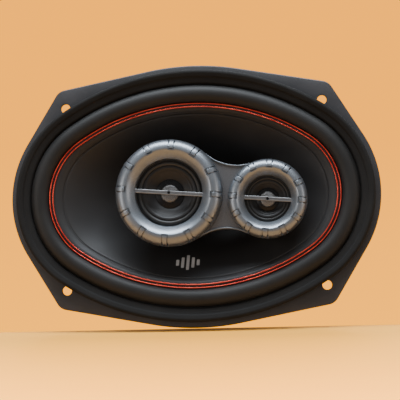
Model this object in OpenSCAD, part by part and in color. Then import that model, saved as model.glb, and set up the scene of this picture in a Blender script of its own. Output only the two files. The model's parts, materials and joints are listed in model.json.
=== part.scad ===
// Oval three-way coaxial car speaker: a woofer with a pod in front of its cone that holds a
// midrange and a tweeter. Every module draws in the speaker's own layout, with +Z along the
// sound axis towards the listener, the long axis along X and z = 0 on the flange's back face.
// upright() then stands it up with its front towards -Y. Millimetres.

/* [Oval] */
// Half length of the trim oval at the cone's edge
oval_a = 92; // [84:0.1:112]
// Half width of the trim oval
oval_b = 58; // [48:0.1:70]
// Radius of the trim oval's ends
oval_r = 43; // [36:0.5:46]
// Width of the trim ring
trim_w = 2.8; // [2:0.1:4]
// Width of the surround's roll
roll_w = 11.6; // [8:0.2:15]
// Width of the gasket band
gasket_w = 9.1; // [6:0.1:14]
// Flange left showing outside the gasket
flange_edge = 3.6; // [2:0.1:8]

/* [Mounting] */
// Screw hole centre inwards from the trim oval's end, along the long axis
hole_in = 9.5; // [8:0.25:12]
// Screw hole centre outwards from the trim oval's side, along the short axis
hole_out = 0.75; // [-1:0.25:3]
// Screw hole radius
hole_r = 3; // [2:0.1:3.4]
// Corner radius of each mounting ear
ear_r = 8.2; // [7:0.1:11]
// Sheet thickness of the basket
sheet_t = 1.6; // [1.2:0.1:2.2]
// Depth from the flange's back face to the rear of the boot
mount_depth = 80; // [72:1:98]

/* [Woofer] */
// Depth of the basket's straight oval wall
wall_depth = 12; // [8:0.5:15]
// Depth of the cone from its edge to its neck
cone_depth = 37; // [32:0.5:42]
// How much of the cone's fall is a bow instead of straight
cone_bow = 0.2; // [0.1:0.01:0.22]
// Thickness of the cone
cone_t = 0.7; // [0.5:0.1:1.2]
// Outer radius of the voice coil's former
former_r = 15.4; // [14:0.1:18.5]
// Wall of the former
former_t = 0.4; // [0.2:0.1:0.6]
// Thickness of the winding
winding_t = 0.9; // [0.5:0.1:1.2]
// Height of the winding
winding_h = 11; // [8:0.5:13]
// Outer radius of the spider
spider_r = 44; // [40:0.5:50]
// Number of waves in the spider
spider_waves = 5; // [3:1:7]
// Height of each wave to either side
spider_wave = 1.5; // [0.8:0.1:2]

/* [Magnet] */
// Outer radius of the ferrite ring
magnet_r = 47; // [42:0.1:56.5]
// Inner radius of the ferrite ring
magnet_bore = 22.5; // [20:0.5:26]
// Thickness of the ferrite ring
magnet_t = 15; // [12:0.5:18]
// Thickness of the top plate and of the yoke's plate
plate_t = 5; // [4:0.5:6]
// How far the top plate's edge stays inside the ferrite ring's
plate_inset = 4.5; // [2:0.5:6]
// How far the yoke's edge stays inside the ferrite ring's
yoke_inset = 3; // [1:0.5:5]
// Bore through the pole
pole_bore = 4; // [3:0.1:6]
// Wall of the rubber boot
boot_wall = 2.4; // [1.8:0.1:3]
// Floor of the rubber boot
boot_floor = 4; // [3:0.1:5]

/* [Pod] */
// Turn of the pod's long axis from the oval's
pod_tilt = -5; // [-15:0.5:15]
// Midrange centre along the pod's axis, measured from the post
mid_x = -15.5; // [-17:0.1:-13]
// Air between the two bezels
bezel_gap = 3.5; // [2:0.1:4]
// Opening radius of the midrange bezel
mid_open_r = 21.4; // [17.5:0.1:22]
// Opening radius of the tweeter bezel
twt_open_r = 14.7; // [13.5:0.1:15.5]
// Width of the midrange bezel's funnel
mid_funnel = 6; // [5:0.1:6.5]
// Width of the tweeter bezel's funnel
twt_funnel = 4.9; // [4:0.1:5.5]
// Radius of the rounded shoulder of the midrange bezel
mid_tube = 6.6; // [5:0.1:7]
// Radius of the rounded shoulder of the tweeter bezel
twt_tube = 5.4; // [4:0.1:6]
// Clips around each bezel
clip_count = 12; // [6:1:16]
// Width of a clip
clip_w = 2.8; // [2:0.1:3.6]
// Radius of the post that carries the pod
post_r = 9; // [8:0.1:10]

/* [Hidden] */
$fn = 96;
oval_n = 72;
eps = 0.01;
over = 1;

// Fits
glue = 0.05;      // glue line between two thin parts
gap = 0.3;        // least air between parts that move past each other
seat_fit = 0.05;  // radial play where one part locates in another

// Four-centre oval: two end arcs and two side arcs. Every offset of it shares their centres,
// so an outline is named by its end radius alone.
end_c = oval_a - oval_r;
side_r = (pow(end_c, 2) + pow(oval_b, 2) - pow(oval_r, 2)) / (2 * (oval_b - oval_r));
side_c = side_r - oval_b;
link = side_r - oval_r;
join_a = atan2(side_c, end_c);

// End radii of the outlines, from the trim ring outwards
roll_in_r = oval_r + trim_w / 2;
roll_out_r = roll_in_r + roll_w;
gasket_in_r = roll_out_r + gap;
gasket_out_r = gasket_in_r + gasket_w;
flange_r = gasket_out_r + flange_edge;
hole_x = oval_a - hole_in;
hole_y = oval_b + hole_out;
ear_in = 0.6;        // ear's centre inside the screw hole, along the long axis
ear_out = 4.2;       // and outside it, along the short one
ear_x = hole_x - ear_in;
ear_y = hole_y + ear_out;
wall_out_r = roll_out_r + 0.8;
wall_in_r = wall_out_r - sheet_t;
cone_edge_r = roll_in_r - 0.2;
cone_lip_w = 3.8;
cone_bowl_r = cone_edge_r - cone_lip_w;
surround_in_r = cone_bowl_r + 0.4;
gasket_step = 2.4;   // how far the gasket steps down outside the surround's lip
gasket_wall = 1.4;   // height of the gasket along its inner edge
gasket_slope = 0.8;  // sloping part above it
gasket_round = 2.6;

// Heights, from the flange forwards
surround_t = 0.8;
surround_z = sheet_t;
roll_h = roll_w / 2;
lip_top_z = surround_z + surround_t;
cone_lip_z = lip_top_z + glue + cone_t;
trim_h = 1;
trim_line = 1;       // width of each raised line
trim_floor = 0.4;    // height of the groove's floor
trim_bevel = 0.25;
gasket_h = 5.6;

// Heights, from the rear of the boot forwards
boot_rear_z = -mount_depth;
yoke_rear_z = boot_rear_z + boot_floor;
yoke_front_z = yoke_rear_z + plate_t;
magnet_front_z = yoke_front_z + magnet_t;
plate_front_z = magnet_front_z + plate_t;
plate_r = magnet_r - plate_inset;
yoke_r = magnet_r - yoke_inset;
boot_r = magnet_r + 0.2 + boot_wall;
boot_front_z = magnet_front_z - 1.5;
back_z = plate_front_z + sheet_t;

// Voice coil gap
pole_r = former_r - former_t - 0.4;
winding_r = former_r + winding_t;
gap_r = winding_r + 0.5;
winding_z = plate_front_z - plate_t / 2 - winding_h / 2;
neck_r = former_r + glue;
neck_t = 0.6;

// Spider housing
neck_z = cone_lip_z - cone_depth;
neck_len = 3.2;
spider_t = 0.5;
spider_flat = 2.2;   // flat collar where the spider is glued to the former
spider_drop = 4.6;
spider_z = neck_z - spider_drop;
ledge_z = spider_z - glue;
ledge_w = 9;
ledge_r = spider_r + 3.5;
housing_in_r = ledge_r - ledge_w;
housing_out_r = housing_in_r + 1.4;
bowl_steps = 5;
bowl_curve = 1.35;

// Windows between the basket's spokes
window_count = 6;
window_half = 17;
window_top = -wall_depth - 4;
window_bottom = ledge_z + 0.4;

// Terminal pad on the basket, in the window at -Y
pad_w = 26;
pad_h = 15;
pad_y = -(ledge_r + 1.5);
pad_t = 1.4;
pad_z = ledge_z - sheet_t;
board_w = 24;
board_t = 2.2;
board_y = pad_y - pad_t;
blade_t = 0.8;
blade_y = board_y - board_t;
blade_x = 6.5;
blade_h = 25;
blade_drop = 13;     // how far a blade reaches behind the pad
blade_tip = 1.4;
blade_tip_in = 0.8;
blade_hole_r = 0.9;
positive_w = 6.3;
negative_w = 4.8;
rivet_z = pad_z + 8;
rivet_r = 1.25;
rivet_head_r = 2.2;
rivet_head_t = 0.8;

// Stakes that hold the basket on the top plate
stake_count = 4;
stake_ring_r = 29;
stake_r = 2;
stake_head_r = 3.5;
stake_head_t = 1.2;
stake_depth = 2.5;
seat_hole_gap = 1.5; // from the coil's gap to the hole in the basket's seat

// Crossover capacitors on the spider housing
capacitor_r = 3.8;
capacitor_len = 13;
capacitor_gap = 2;

// Pod
floor_t = 1.5;
mid_floor_z = -8.3;
twt_floor_z = -5.2;
rim_z = 4;
plate_h = 2;
shoulder_z = 8;
pod_wall_in = 1;
mid_ring_r = mid_open_r + mid_funnel + mid_tube;
twt_ring_r = twt_open_r + twt_funnel + twt_tube;
twt_x = mid_x + mid_ring_r + bezel_gap + twt_ring_r;
mid_seat_r = mid_open_r + 2.2;
twt_seat_r = twt_open_r + 2.1;
mid_foot_r = mid_seat_r + 0.9;
twt_foot_r = twt_seat_r - 1.3;
frame_z = 5;
driver_t = 0.8;
funnel_drop = 5.2;
funnel_bow = 0.6;
bezel_t = 1.7;
waist_r = 30;
waist_half = 20.3;
waist_x = 40;
waist_flat = 0.78;   // where the plate stops beside the midrange, as a share of its radius
waist_end = 0.4;     // where it stops beside the tweeter, as a share of its radius
waist_rim = 0.9;
boss_r = 12;
socket_depth = 6;
post_top_z = mid_floor_z - floor_t - 1.2;
post_bore = 2.4;
pod_screw_y = 6;
pod_screw_r = 1.25;
pod_screw_head_r = 2.3;
pod_screw_head_t = 1.3;
pod_screw_len = 11;
cross_len = 3;
cross_w = 0.6;
bar_w = 2.6;
bar_t = 1.2;
bar_hole_r = 0.9;

// Clips on the bezels
clip_from = 4;
clip_end = 5;        // the groove runs on past the clip, in degrees
clip_to = 84;
clip_rise = 0.2;
groove_w = 0.65;
groove_depth = 0.8;

// Wires
wire_r = 0.75;
pod_wire_r = 0.5;
wire_pitch = 1;
wire_slot = 2.2;     // depth of the slot across the boot's rear
slot_half = 2.2;
slot_depth = 1.8;
slot_y = 0.9 - boot_r;
slot_z = boot_rear_z + 1.1;
duct_half = 5;       // half width of the duct between the two drivers
duct_z = -1.5;

// The two small drivers: coil, yoke, cone, cap and dot
mid_coil_r = 7.7;
mid_yoke_r = 9.5;
mid_gap_z = -1.6;
mid_cone_r = mid_open_r - 4;
mid_cap_r = 9.2;
mid_dot_r = 5.75;
twt_coil_r = 5.9;
twt_yoke_r = 7.7;
twt_gap_z = -0.2;
twt_cone_r = twt_open_r - 2.7;
twt_cap_r = 7.2;
twt_dot_r = 4.95;
coil_t = 0.5;
small_roll_t = 0.3;
small_cone_t = 0.5;
small_lip = 1.4;     // flat edge of a small cone
small_bow = 0.25;
neck_rise = 2.6;     // from the gap up to a small cone's neck
coil_up = 3.2;
plate_drop = 1.8;
small_plate_t = 1.5;
cap_rise = 1.8;
cap_t = 0.4;
dot_t = 0.5;
yoke_wall = 1.5;
yoke_floor = 1.4;

// ---------- helpers ----------

module upright() rotate([90, 0, 0]) children();
module in_pod(x = 0) rotate([0, 0, pod_tilt]) translate([x, 0, 0]) children();

// Points of an arc about [x, y]
function arc(x, y, r, from, to, n) =
    [for (i = [0:n]) let (a = from + (to - from) * i / n) [x + r * cos(a), y + r * sin(a)]];

function mix(a, b, k) = a + (b - a) * k;

// A tube wall between two radii and two heights
module tube_wall(r_out, r_in, z0, z1) {
    rotate_extrude() translate([r_in, z0]) square([r_out - r_in, z1 - z0]);
}

// The point of the oval with end radius r whose outward direction is a
function side_of(a) = abs(cos(a)) >= cos(join_a);
function oval_point(r, a) = side_of(a)
    ? [sign(cos(a)) * end_c + r * cos(a), r * sin(a)]
    : [(r + link) * cos(a), -sign(sin(a)) * side_c + (r + link) * sin(a)];

function oval_outline(r) = [for (i = [0:oval_n - 1]) oval_point(r, 360 * i / oval_n)];

// One section of a loft: [end radius of the oval, radius of the circle, share of circle, z]
function section_points(s) = [for (i = [0:oval_n - 1])
    let (a = 360 * i / oval_n, o = oval_point(s[0], a), k = s[2])
    [mix(o[0], s[1] * cos(a), k), mix(o[1], s[1] * sin(a), k), s[3]]];

// A closed ring of sections, anticlockwise as seen with the sound axis up: in along the
// front skin and out along the back one
module loft(sections) {
    m = len(sections);
    n = oval_n;
    points = [for (s = sections) each section_points(s)];
    faces = [for (j = [0:m - 1]) for (i = [0:n - 1])
        let (j2 = (j + 1) % m, i2 = (i + 1) % n)
        each [[j * n + i, j2 * n + i, j2 * n + i2], [j * n + i, j2 * n + i2, j * n + i2]]];
    polyhedron(points, faces, convexity = 6);
}

// Sweeps a profile around the oval. Its x is the end radius and its y is the height.
module oval_sweep(profile) loft([for (p = profile) [p[0], 0, 0, p[1]]]);

// A flat ring between two outlines of the oval
module oval_band(r_out, r_in, z0, z1) translate([0, 0, z0]) linear_extrude(z1 - z0)
    difference() {
        polygon(oval_outline(r_out));
        polygon(oval_outline(r_in));
    }

// A round tube along points, its sides set out from the direction ref
function unit(v) = v / norm(v);
module cable(path, r, ref, sides = 8) {
    last = len(path) - 1;
    rings = [for (i = [0:last])
        let (t = unit(path[min(i + 1, last)] - path[max(i - 1, 0)]),
             u = unit(cross(t, ref)), v = cross(t, u))
        for (k = [0:sides - 1])
            path[i] + r * (u * cos(360 * k / sides) + v * sin(360 * k / sides))];
    walls = [for (i = [0:last - 1]) for (k = [0:sides - 1])
        let (a = i * sides + k, b = i * sides + (k + 1) % sides)
        each [[a, a + sides, b + sides], [a, b + sides, b]]];
    ends = [[for (k = [0:sides - 1]) k],
            [for (k = [sides - 1:-1:0]) last * sides + k]];
    polyhedron(rings, concat(walls, ends), convexity = 8);
}

// ---------- basket, gasket and suspension ----------

// Where the tangent to two circles touches the first one
function tangent_angle(c1, r1, c2, r2, side) =
    let (d = c2 - c1) atan2(d[1], d[0]) + side * acos((r1 - r2) / norm(d));
function on_circle(c, r, a) = c + r * [cos(a), sin(a)];

// One ear: a round corner joined to the oval's end arc and side arc by tangent lines
module ear_outline() {
    ear = [ear_x, ear_y];
    end = [end_c, 0];
    side = [0, -side_c];
    down = tangent_angle(end, flange_r, ear, ear_r, -1);
    along = tangent_angle(side, flange_r + link, ear, ear_r, 1);
    polygon([
        [end_c, 0], on_circle(end, flange_r, down), on_circle(ear, ear_r, down),
        for (p = arc(ear[0], ear[1], ear_r, down, along, 10)) p,
        on_circle(side, flange_r + link, along), [0, 0]
    ]);
}

// The flange's sheet, with an ear at each corner and the opening left for the wall
module flange() linear_extrude(sheet_t) difference() {
    union() {
        polygon(oval_outline(flange_r));
        for (sx = [0, 1]) for (sy = [0, 1]) mirror([sx, 0, 0]) mirror([0, sy, 0])
            ear_outline();
    }
    polygon(oval_outline(wall_in_r));
}

// Outer skin of the basket's bowl, from its narrow end forwards
basket_skin = [for (i = [bowl_steps:-1:0]) let (t = i / bowl_steps)
    [wall_out_r - sheet_t / 2, ledge_r - 0.5, pow(t, bowl_curve),
     mix(-wall_depth + 0.6, ledge_z - sheet_t + 0.2, t)]];

module basket_bowl() {
    inner = [for (i = [bowl_steps:-1:0]) let (s = basket_skin[i])
        [s[0], s[1], s[2], s[3] + sheet_t]];
    difference() {
        loft(concat(inner, basket_skin));
        for (i = [0:window_count - 1]) rotate([0, 0, 30 + 360 * i / window_count])
            translate([0, 0, window_bottom])
                linear_extrude(window_top - window_bottom) polygon([
                    [0, 0], [2 * oval_a, -2 * oval_a * tan(window_half)],
                    [2 * oval_a, 2 * oval_a * tan(window_half)]]);
    }
}

module basket_frame() upright() color([0.13, 0.13, 0.14]) difference() {
    union() {
        flange();
        oval_band(wall_out_r, wall_in_r, -wall_depth, eps);
        basket_bowl();
        tube_wall(ledge_r, housing_in_r, ledge_z - sheet_t, ledge_z);
        tube_wall(housing_out_r, housing_in_r, plate_front_z, ledge_z - eps);
        tube_wall(housing_out_r, gap_r + seat_hole_gap, plate_front_z, back_z);
        translate([-pad_w / 2, pad_y - pad_t, pad_z]) cube([pad_w, pad_t, pad_h]);
        translate([-pad_w / 2, pad_y - pad_t, pad_z])
            cube([pad_w, pad_t - pad_y - housing_out_r, sheet_t]);
    }
    for (sx = [-1, 1]) for (sy = [-1, 1])
        translate([sx * hole_x, sy * hole_y, -over])
            cylinder(r = hole_r, h = sheet_t + 2 * over);
    for (i = [0:stake_count - 1]) rotate([0, 0, 45 + 360 * i / stake_count])
        translate([stake_ring_r, 0, plate_front_z - over])
            cylinder(r = stake_r + seat_fit, h = sheet_t + 2 * over);
    for (sx = [-1, 1]) translate([sx * blade_x, pad_y + over, rivet_z])
        rotate([90, 0, 0]) cylinder(r = rivet_r + seat_fit, h = pad_t + 2 * over);
}

module gasket_ring() upright() color([0.1, 0.1, 0.1]) oval_sweep(concat(
    [[gasket_in_r, lip_top_z], [gasket_out_r - gasket_step, lip_top_z],
     [gasket_out_r - gasket_step, sheet_t], [gasket_out_r, sheet_t]],
    arc(gasket_out_r - gasket_round, sheet_t + gasket_h - gasket_round, gasket_round, 0, 100, 6),
    [[gasket_in_r + gasket_slope, lip_top_z + gasket_wall + gasket_slope],
     [gasket_in_r, lip_top_z + gasket_wall]]));

module surround() upright() color([0.12, 0.12, 0.12]) {
    mid = (roll_in_r + roll_out_r) / 2;
    z = surround_z;
    out_r = gasket_out_r - gasket_step - 0.4;
    lip_a = asin(surround_t / roll_h);
    oval_sweep(concat(
        [[surround_in_r, z]],
        arc(mid, z, roll_h - surround_t, 180, 0, 9),
        [[out_r, z], [out_r, z + surround_t]],
        arc(mid, z, roll_h, lip_a, 180 - lip_a, 9),
        [[surround_in_r, z + surround_t]]));
}

// Two raised lines with a groove between them
module trim_ring() upright() color([0.75, 0.05, 0.04]) {
    w = trim_w;
    profile = [[0, 0], [w, 0], [w, trim_h - trim_bevel], [w - trim_bevel, trim_h],
        [w - trim_line, trim_h], [w - trim_line, trim_floor], [trim_line, trim_floor],
        [trim_line, trim_h], [trim_bevel, trim_h], [0, trim_h - trim_bevel]];
    oval_sweep([for (p = profile) p + [cone_edge_r - w, cone_lip_z]]);
}

// ---------- woofer cone, coil and spider ----------

// Fall of the cone at share t of the way from its bowl's edge to its neck
function cone_fall(t) = (cone_depth - cone_t) * ((1 + cone_bow) * t - cone_bow * t * t);
cone_rings = 9;
cone_front = [for (i = [0:cone_rings]) let (t = i / cone_rings)
    [cone_bowl_r, neck_r, t, cone_lip_z - cone_fall(t)]];
cone_back = [for (i = [cone_rings - 1:-1:0]) let (t = i / cone_rings)
    [cone_bowl_r, neck_r, t, cone_lip_z - cone_fall(t) - cone_t]];

module woofer_cone() upright() color([0.04, 0.04, 0.045]) loft(concat(
    [[cone_edge_r, 0, 0, cone_lip_z]],
    cone_front,
    [[cone_bowl_r, neck_r, 1, neck_z - neck_len],
     [cone_bowl_r, neck_r + neck_t, 1, neck_z - neck_len],
     [cone_bowl_r, neck_r + neck_t, 1, neck_z - cone_t - 0.2]],
    cone_back,
    [[cone_edge_r, 0, 0, cone_lip_z - cone_t]]));

module voice_coil_former() upright() color([0.75, 0.55, 0.25])
    tube_wall(former_r, former_r - former_t, winding_z - 1, neck_z + 1);

module voice_coil() upright() color([0.72, 0.38, 0.15])
    tube_wall(winding_r, former_r + eps, winding_z, winding_z + winding_h);

module spider() upright() color([0.7, 0.55, 0.25]) rotate_extrude() {
    wave_out = housing_in_r - gap;
    steps = spider_waves * 8;
    wave = [for (i = [0:steps]) let (t = i / steps)
        [mix(neck_r + spider_flat, wave_out, t), spider_wave * sin(360 * spider_waves * t)]];
    translate([0, spider_z]) polygon(concat(
        [[neck_r, 0]], wave, [[spider_r, 0], [spider_r, spider_t]],
        [for (i = [steps:-1:0]) wave[i] + [0, spider_t]], [[neck_r, spider_t]]));
}

// Flexible leads from the terminals to the back of the cone
module tinsel_leads() upright() color([0.75, 0.5, 0.3]) {
    half_w = cone_bowl_r + link - side_c;
    y0 = pad_y + rivet_head_t + wire_r + 0.1;
    y1 = -half_w / 2;
    z1 = cone_lip_z - cone_fall((half_w + y1) / (half_w - neck_r)) - cone_t - wire_r - 0.8;
    sag = 2.5;
    for (sx = [-1, 1]) cable([for (i = [0:10]) let (t = i / 10)
        [sx * blade_x, mix(y0, y1, t), mix(rivet_z, z1, t) - sag * sin(180 * t)]],
        wire_r, [1, 0, 0]);
}

// ---------- terminals ----------

module terminal_board() upright() color([0.09, 0.09, 0.09]) difference() {
    translate([-board_w / 2, board_y - board_t, pad_z - 4])
        cube([board_w, board_t, pad_h + 4]);
    for (sx = [-1, 1]) translate([sx * blade_x, board_y + over, rivet_z])
        rotate([90, 0, 0]) cylinder(r = rivet_r + seat_fit, h = board_t + 2 * over);
}

module blade(x, w) difference() {
    union() {
        translate([x - w / 2, blade_y - blade_t, pad_z - blade_drop])
            cube([w, blade_t, blade_h]);
        translate([x - w / 2 + blade_tip_in, blade_y - blade_t, pad_z - blade_drop - blade_tip])
            cube([w - 2 * blade_tip_in, blade_t, blade_tip + over]);
    }
    translate([x, blade_y + over, rivet_z]) rotate([90, 0, 0])
        cylinder(r = rivet_r + seat_fit, h = blade_t + 2 * over);
    translate([x, blade_y + over, pad_z - 0.7 * blade_drop]) rotate([90, 0, 0])
        cylinder(r = blade_hole_r, h = blade_t + 2 * over);
}

module positive_terminal() upright() color([0.8, 0.72, 0.45]) blade(blade_x, positive_w);
module negative_terminal() upright() color([0.8, 0.8, 0.8]) blade(-blade_x, negative_w);

module terminal_rivets() upright() color([0.7, 0.7, 0.7]) {
    stack = pad_t + board_t + blade_t;
    for (sx = [-1, 1]) translate([sx * blade_x, pad_y, rivet_z]) rotate([90, 0, 0]) {
        translate([0, 0, -rivet_head_t]) cylinder(r = rivet_head_r, h = rivet_head_t);
        translate([0, 0, -eps]) cylinder(r = rivet_r, h = stack + 2 * eps);
        translate([0, 0, stack]) cylinder(r = rivet_head_r, h = rivet_head_t);
    }
}

// ---------- woofer magnet ----------

module top_plate() upright() color([0.72, 0.72, 0.7]) difference() {
    tube_wall(plate_r, gap_r, magnet_front_z, plate_front_z);
    for (i = [0:stake_count - 1]) rotate([0, 0, 45 + 360 * i / stake_count])
        translate([stake_ring_r, 0, plate_front_z - stake_depth])
            cylinder(r = stake_r + seat_fit, h = stake_depth + over);
}

module ferrite_magnet() upright() color([0.2, 0.2, 0.21])
    tube_wall(magnet_r, magnet_bore, yoke_front_z, magnet_front_z);

module pole_yoke() upright() color([0.7, 0.7, 0.68]) difference() {
    union() {
        translate([0, 0, yoke_rear_z]) cylinder(r = yoke_r, h = plate_t);
        translate([0, 0, yoke_front_z - eps])
            cylinder(r = pole_r, h = plate_front_z - yoke_front_z + eps);
    }
    translate([0, 0, yoke_rear_z - over])
        cylinder(r = pole_bore, h = plate_front_z - yoke_rear_z + 2 * over);
}

module magnet_boot() upright() color([0.08, 0.08, 0.08]) difference() {
    translate([0, 0, boot_rear_z]) cylinder(r = boot_r, h = boot_front_z - boot_rear_z);
    translate([0, 0, yoke_rear_z])
        cylinder(r = boot_r - boot_wall, h = boot_front_z - yoke_rear_z + over);
    translate([0, 0, boot_rear_z - over]) cylinder(r = pole_bore, h = boot_floor + 2 * over);
    translate([-slot_half, -boot_r - over, boot_rear_z - over])
        cube([2 * slot_half, slot_depth + over, boot_front_z - boot_rear_z + 2 * over]);
    translate([-slot_half, -boot_r, boot_rear_z - over])
        cube([2 * slot_half, boot_r, wire_slot + over]);
}

module basket_rivets() upright() color([0.75, 0.75, 0.75])
    for (i = [0:stake_count - 1]) rotate([0, 0, 45 + 360 * i / stake_count])
        translate([stake_ring_r, 0, plate_front_z - stake_depth]) {
            cylinder(r = stake_r, h = stake_depth + sheet_t + eps);
            translate([0, 0, stake_depth + sheet_t]) cylinder(r = stake_head_r, h = stake_head_t);
        }

// ---------- post and pod ----------

module centre_post() upright() color([0.1, 0.1, 0.1]) difference() {
    spigot = 15;
    union() {
        translate([0, 0, plate_front_z]) cylinder(r = post_r, h = post_top_z - plate_front_z);
        translate([0, 0, plate_front_z - spigot])
            cylinder(r = pole_bore - seat_fit, h = spigot + over);
    }
    translate([0, 0, plate_front_z - spigot - over])
        cylinder(r = post_bore, h = post_top_z - plate_front_z + spigot + 2 * over);
    pod_screw_holes(post_top_z - pod_screw_len, post_top_z + over);
}

module pod_screw_holes(z0, z1) in_pod() for (sy = [-1, 1])
    translate([0, sy * pod_screw_y, z0]) cylinder(r = pod_screw_r + seat_fit, h = z1 - z0);

module post_screws() upright() color([0.6, 0.6, 0.6]) in_pod() for (sy = [-1, 1])
    translate([0, sy * pod_screw_y, mid_floor_z]) {
        translate([0, 0, -pod_screw_len]) cylinder(r = pod_screw_r, h = pod_screw_len + eps);
        difference() {
            cylinder(r = pod_screw_head_r, h = pod_screw_head_t);
            for (turn = [0, 90]) rotate([0, 0, turn])
                translate([-cross_len / 2, -cross_w / 2, pod_screw_head_t / 2])
                    cube([cross_len, cross_w, pod_screw_head_t]);
        }
    }

// A shallow dish under one driver, wide at the rim and narrow at the floor
module dish(foot_r, ring_r, floor_z) rotate_extrude() polygon([
    [0, floor_z - floor_t], [foot_r, floor_z - floor_t], [ring_r - pod_wall_in, rim_z - 2],
    [ring_r - pod_wall_in, rim_z], [0, rim_z]]);

// The waisted outline between the two bezels, with its origin at the midrange. It ends where its
// sides meet the tweeter's ring.
module waist(edge) difference() {
    half = mid_ring_r * waist_flat;
    translate([0, -half]) square([twt_x - mid_x - twt_ring_r * waist_end, 2 * half]);
    for (sy = [-1, 1]) translate([waist_x, sy * (waist_half + waist_r)])
        circle(r = waist_r + edge, $fn = 180);
}

module pod_base() upright() color([0.12, 0.12, 0.13]) difference() {
    union() {
        in_pod(mid_x) dish(mid_foot_r, mid_ring_r, mid_floor_z);
        in_pod(twt_x) dish(twt_foot_r, twt_ring_r, twt_floor_z);
        in_pod(mid_x) translate([0, 0, twt_floor_z])
            linear_extrude(rim_z - twt_floor_z) waist(0.4);
        translate([0, 0, post_top_z - socket_depth])
            cylinder(r = boss_r, h = socket_depth + mid_floor_z - post_top_z - 0.5);
    }
    in_pod(mid_x) translate([0, 0, mid_floor_z])
        cylinder(r = mid_seat_r + seat_fit, h = rim_z - mid_floor_z + over);
    in_pod(twt_x) translate([0, 0, twt_floor_z])
        cylinder(r = twt_seat_r + seat_fit, h = rim_z - twt_floor_z + over);
    in_pod(mid_x) translate([0, -duct_half, duct_z])
        cube([twt_x - mid_x, 2 * duct_half, rim_z - duct_z + over]);
    translate([0, 0, post_top_z - socket_depth - over])
        cylinder(r = post_r + seat_fit, h = socket_depth + over);
    translate([0, 0, post_top_z - over]) cylinder(r = post_bore, h = 8);
    pod_screw_holes(post_top_z - over, mid_floor_z + over);
}

module bridge_plate() upright() color([0.42, 0.42, 0.43]) in_pod(mid_x) difference() {
    union() {
        translate([0, 0, rim_z]) linear_extrude(plate_h) waist(0);
        translate([0, 0, rim_z + plate_h - eps]) linear_extrude(waist_rim) difference() {
            waist(0);
            waist(waist_rim);
        }
    }
    translate([0, 0, rim_z - over]) cylinder(r = mid_ring_r + seat_fit, h = plate_h + 3);
    translate([twt_x - mid_x, 0, rim_z - over])
        cylinder(r = twt_ring_r + seat_fit, h = plate_h + 3);
}

// The bezel's cross-section: skirt, rounded shoulder, and a funnel down to the opening
module bezel_profile(ring_r, tube, open_r) {
    crest = ring_r - tube;
    top = shoulder_z + tube;
    lip_z = frame_z + small_roll_t + glue;
    lip_t = 1.4;
    polygon(concat(
        [[ring_r - bezel_t, rim_z], [ring_r, rim_z]],
        arc(crest, shoulder_z, tube, 0, 90, 10),
        [for (i = [1:6]) let (t = i / 6)
            [mix(crest, open_r, t), top - funnel_drop * mix(t, 1 - cos(90 * t), funnel_bow)]],
        [[open_r, lip_z], [open_r + lip_t, lip_z]],
        [[open_r + lip_t, top - funnel_drop - bezel_t]],
        [[crest, top - bezel_t]],
        arc(crest, shoulder_z, tube - bezel_t, 70, 0, 5)));
}

// The side view of a clip: a strap of the shoulder between two angles
module clip_side(ring_r, tube, from, to, inner, outer) {
    crest = ring_r - tube;
    polygon(concat(arc(crest, shoulder_z, tube + outer, from, to, 6),
        arc(crest, shoulder_z, tube - inner, to, from, 6)));
}

module around_bezel() for (i = [0:clip_count - 1])
    rotate([0, 0, 360 * i / clip_count]) rotate([90, 0, 0]) children();

module bezel(ring_r, tube, open_r) {
    wide = clip_w + 2 * groove_w;
    difference() {
        rotate_extrude() bezel_profile(ring_r, tube, open_r);
        around_bezel() translate([0, 0, -wide / 2]) linear_extrude(wide)
            clip_side(ring_r, tube, clip_from, clip_to + clip_end, groove_depth, over);
    }
    around_bezel() translate([0, 0, -clip_w / 2]) linear_extrude(clip_w)
        clip_side(ring_r, tube, clip_from - 1, clip_to, groove_depth + 0.4, clip_rise);
}

module midrange_bezel() upright() color([0.66, 0.66, 0.68])
    in_pod(mid_x) bezel(mid_ring_r, mid_tube, mid_open_r);
module tweeter_bezel() upright() color([0.66, 0.66, 0.68])
    in_pod(twt_x) bezel(twt_ring_r, twt_tube, twt_open_r);

// A thin bar across an opening along the pod's axis, with a hole in its middle
module bar(open_r, tube) translate([0, 0, shoulder_z + tube - funnel_drop - bar_t - 0.3])
    difference() {
        intersection() {
            translate([-open_r, -bar_w / 2, 0]) cube([2 * open_r, bar_w, bar_t]);
            translate([0, 0, -over]) cylinder(r = open_r - glue / 2, h = bar_t + 2 * over);
        }
        translate([0, 0, -over]) cylinder(r = bar_hole_r, h = bar_t + 2 * over);
    }
module midrange_bar() upright() color([0.7, 0.7, 0.7]) in_pod(mid_x) bar(mid_open_r, mid_tube);
module tweeter_bar() upright() color([0.7, 0.7, 0.7]) in_pod(twt_x) bar(twt_open_r, twt_tube);

// ---------- the two small drivers ----------

module small_frame(seat_r, open_r, yoke_out, gap_z, coil_r) rotate_extrude() {
    mouth = open_r - 1;
    polygon([
        [coil_r + 0.4, gap_z], [yoke_out + 1.2, gap_z], [mouth, frame_z - driver_t],
        [seat_r, frame_z - driver_t], [seat_r, frame_z], [mouth - 0.4, frame_z],
        [yoke_out + 0.8, gap_z + driver_t], [coil_r + 0.4, gap_z + driver_t]]);
}

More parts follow.
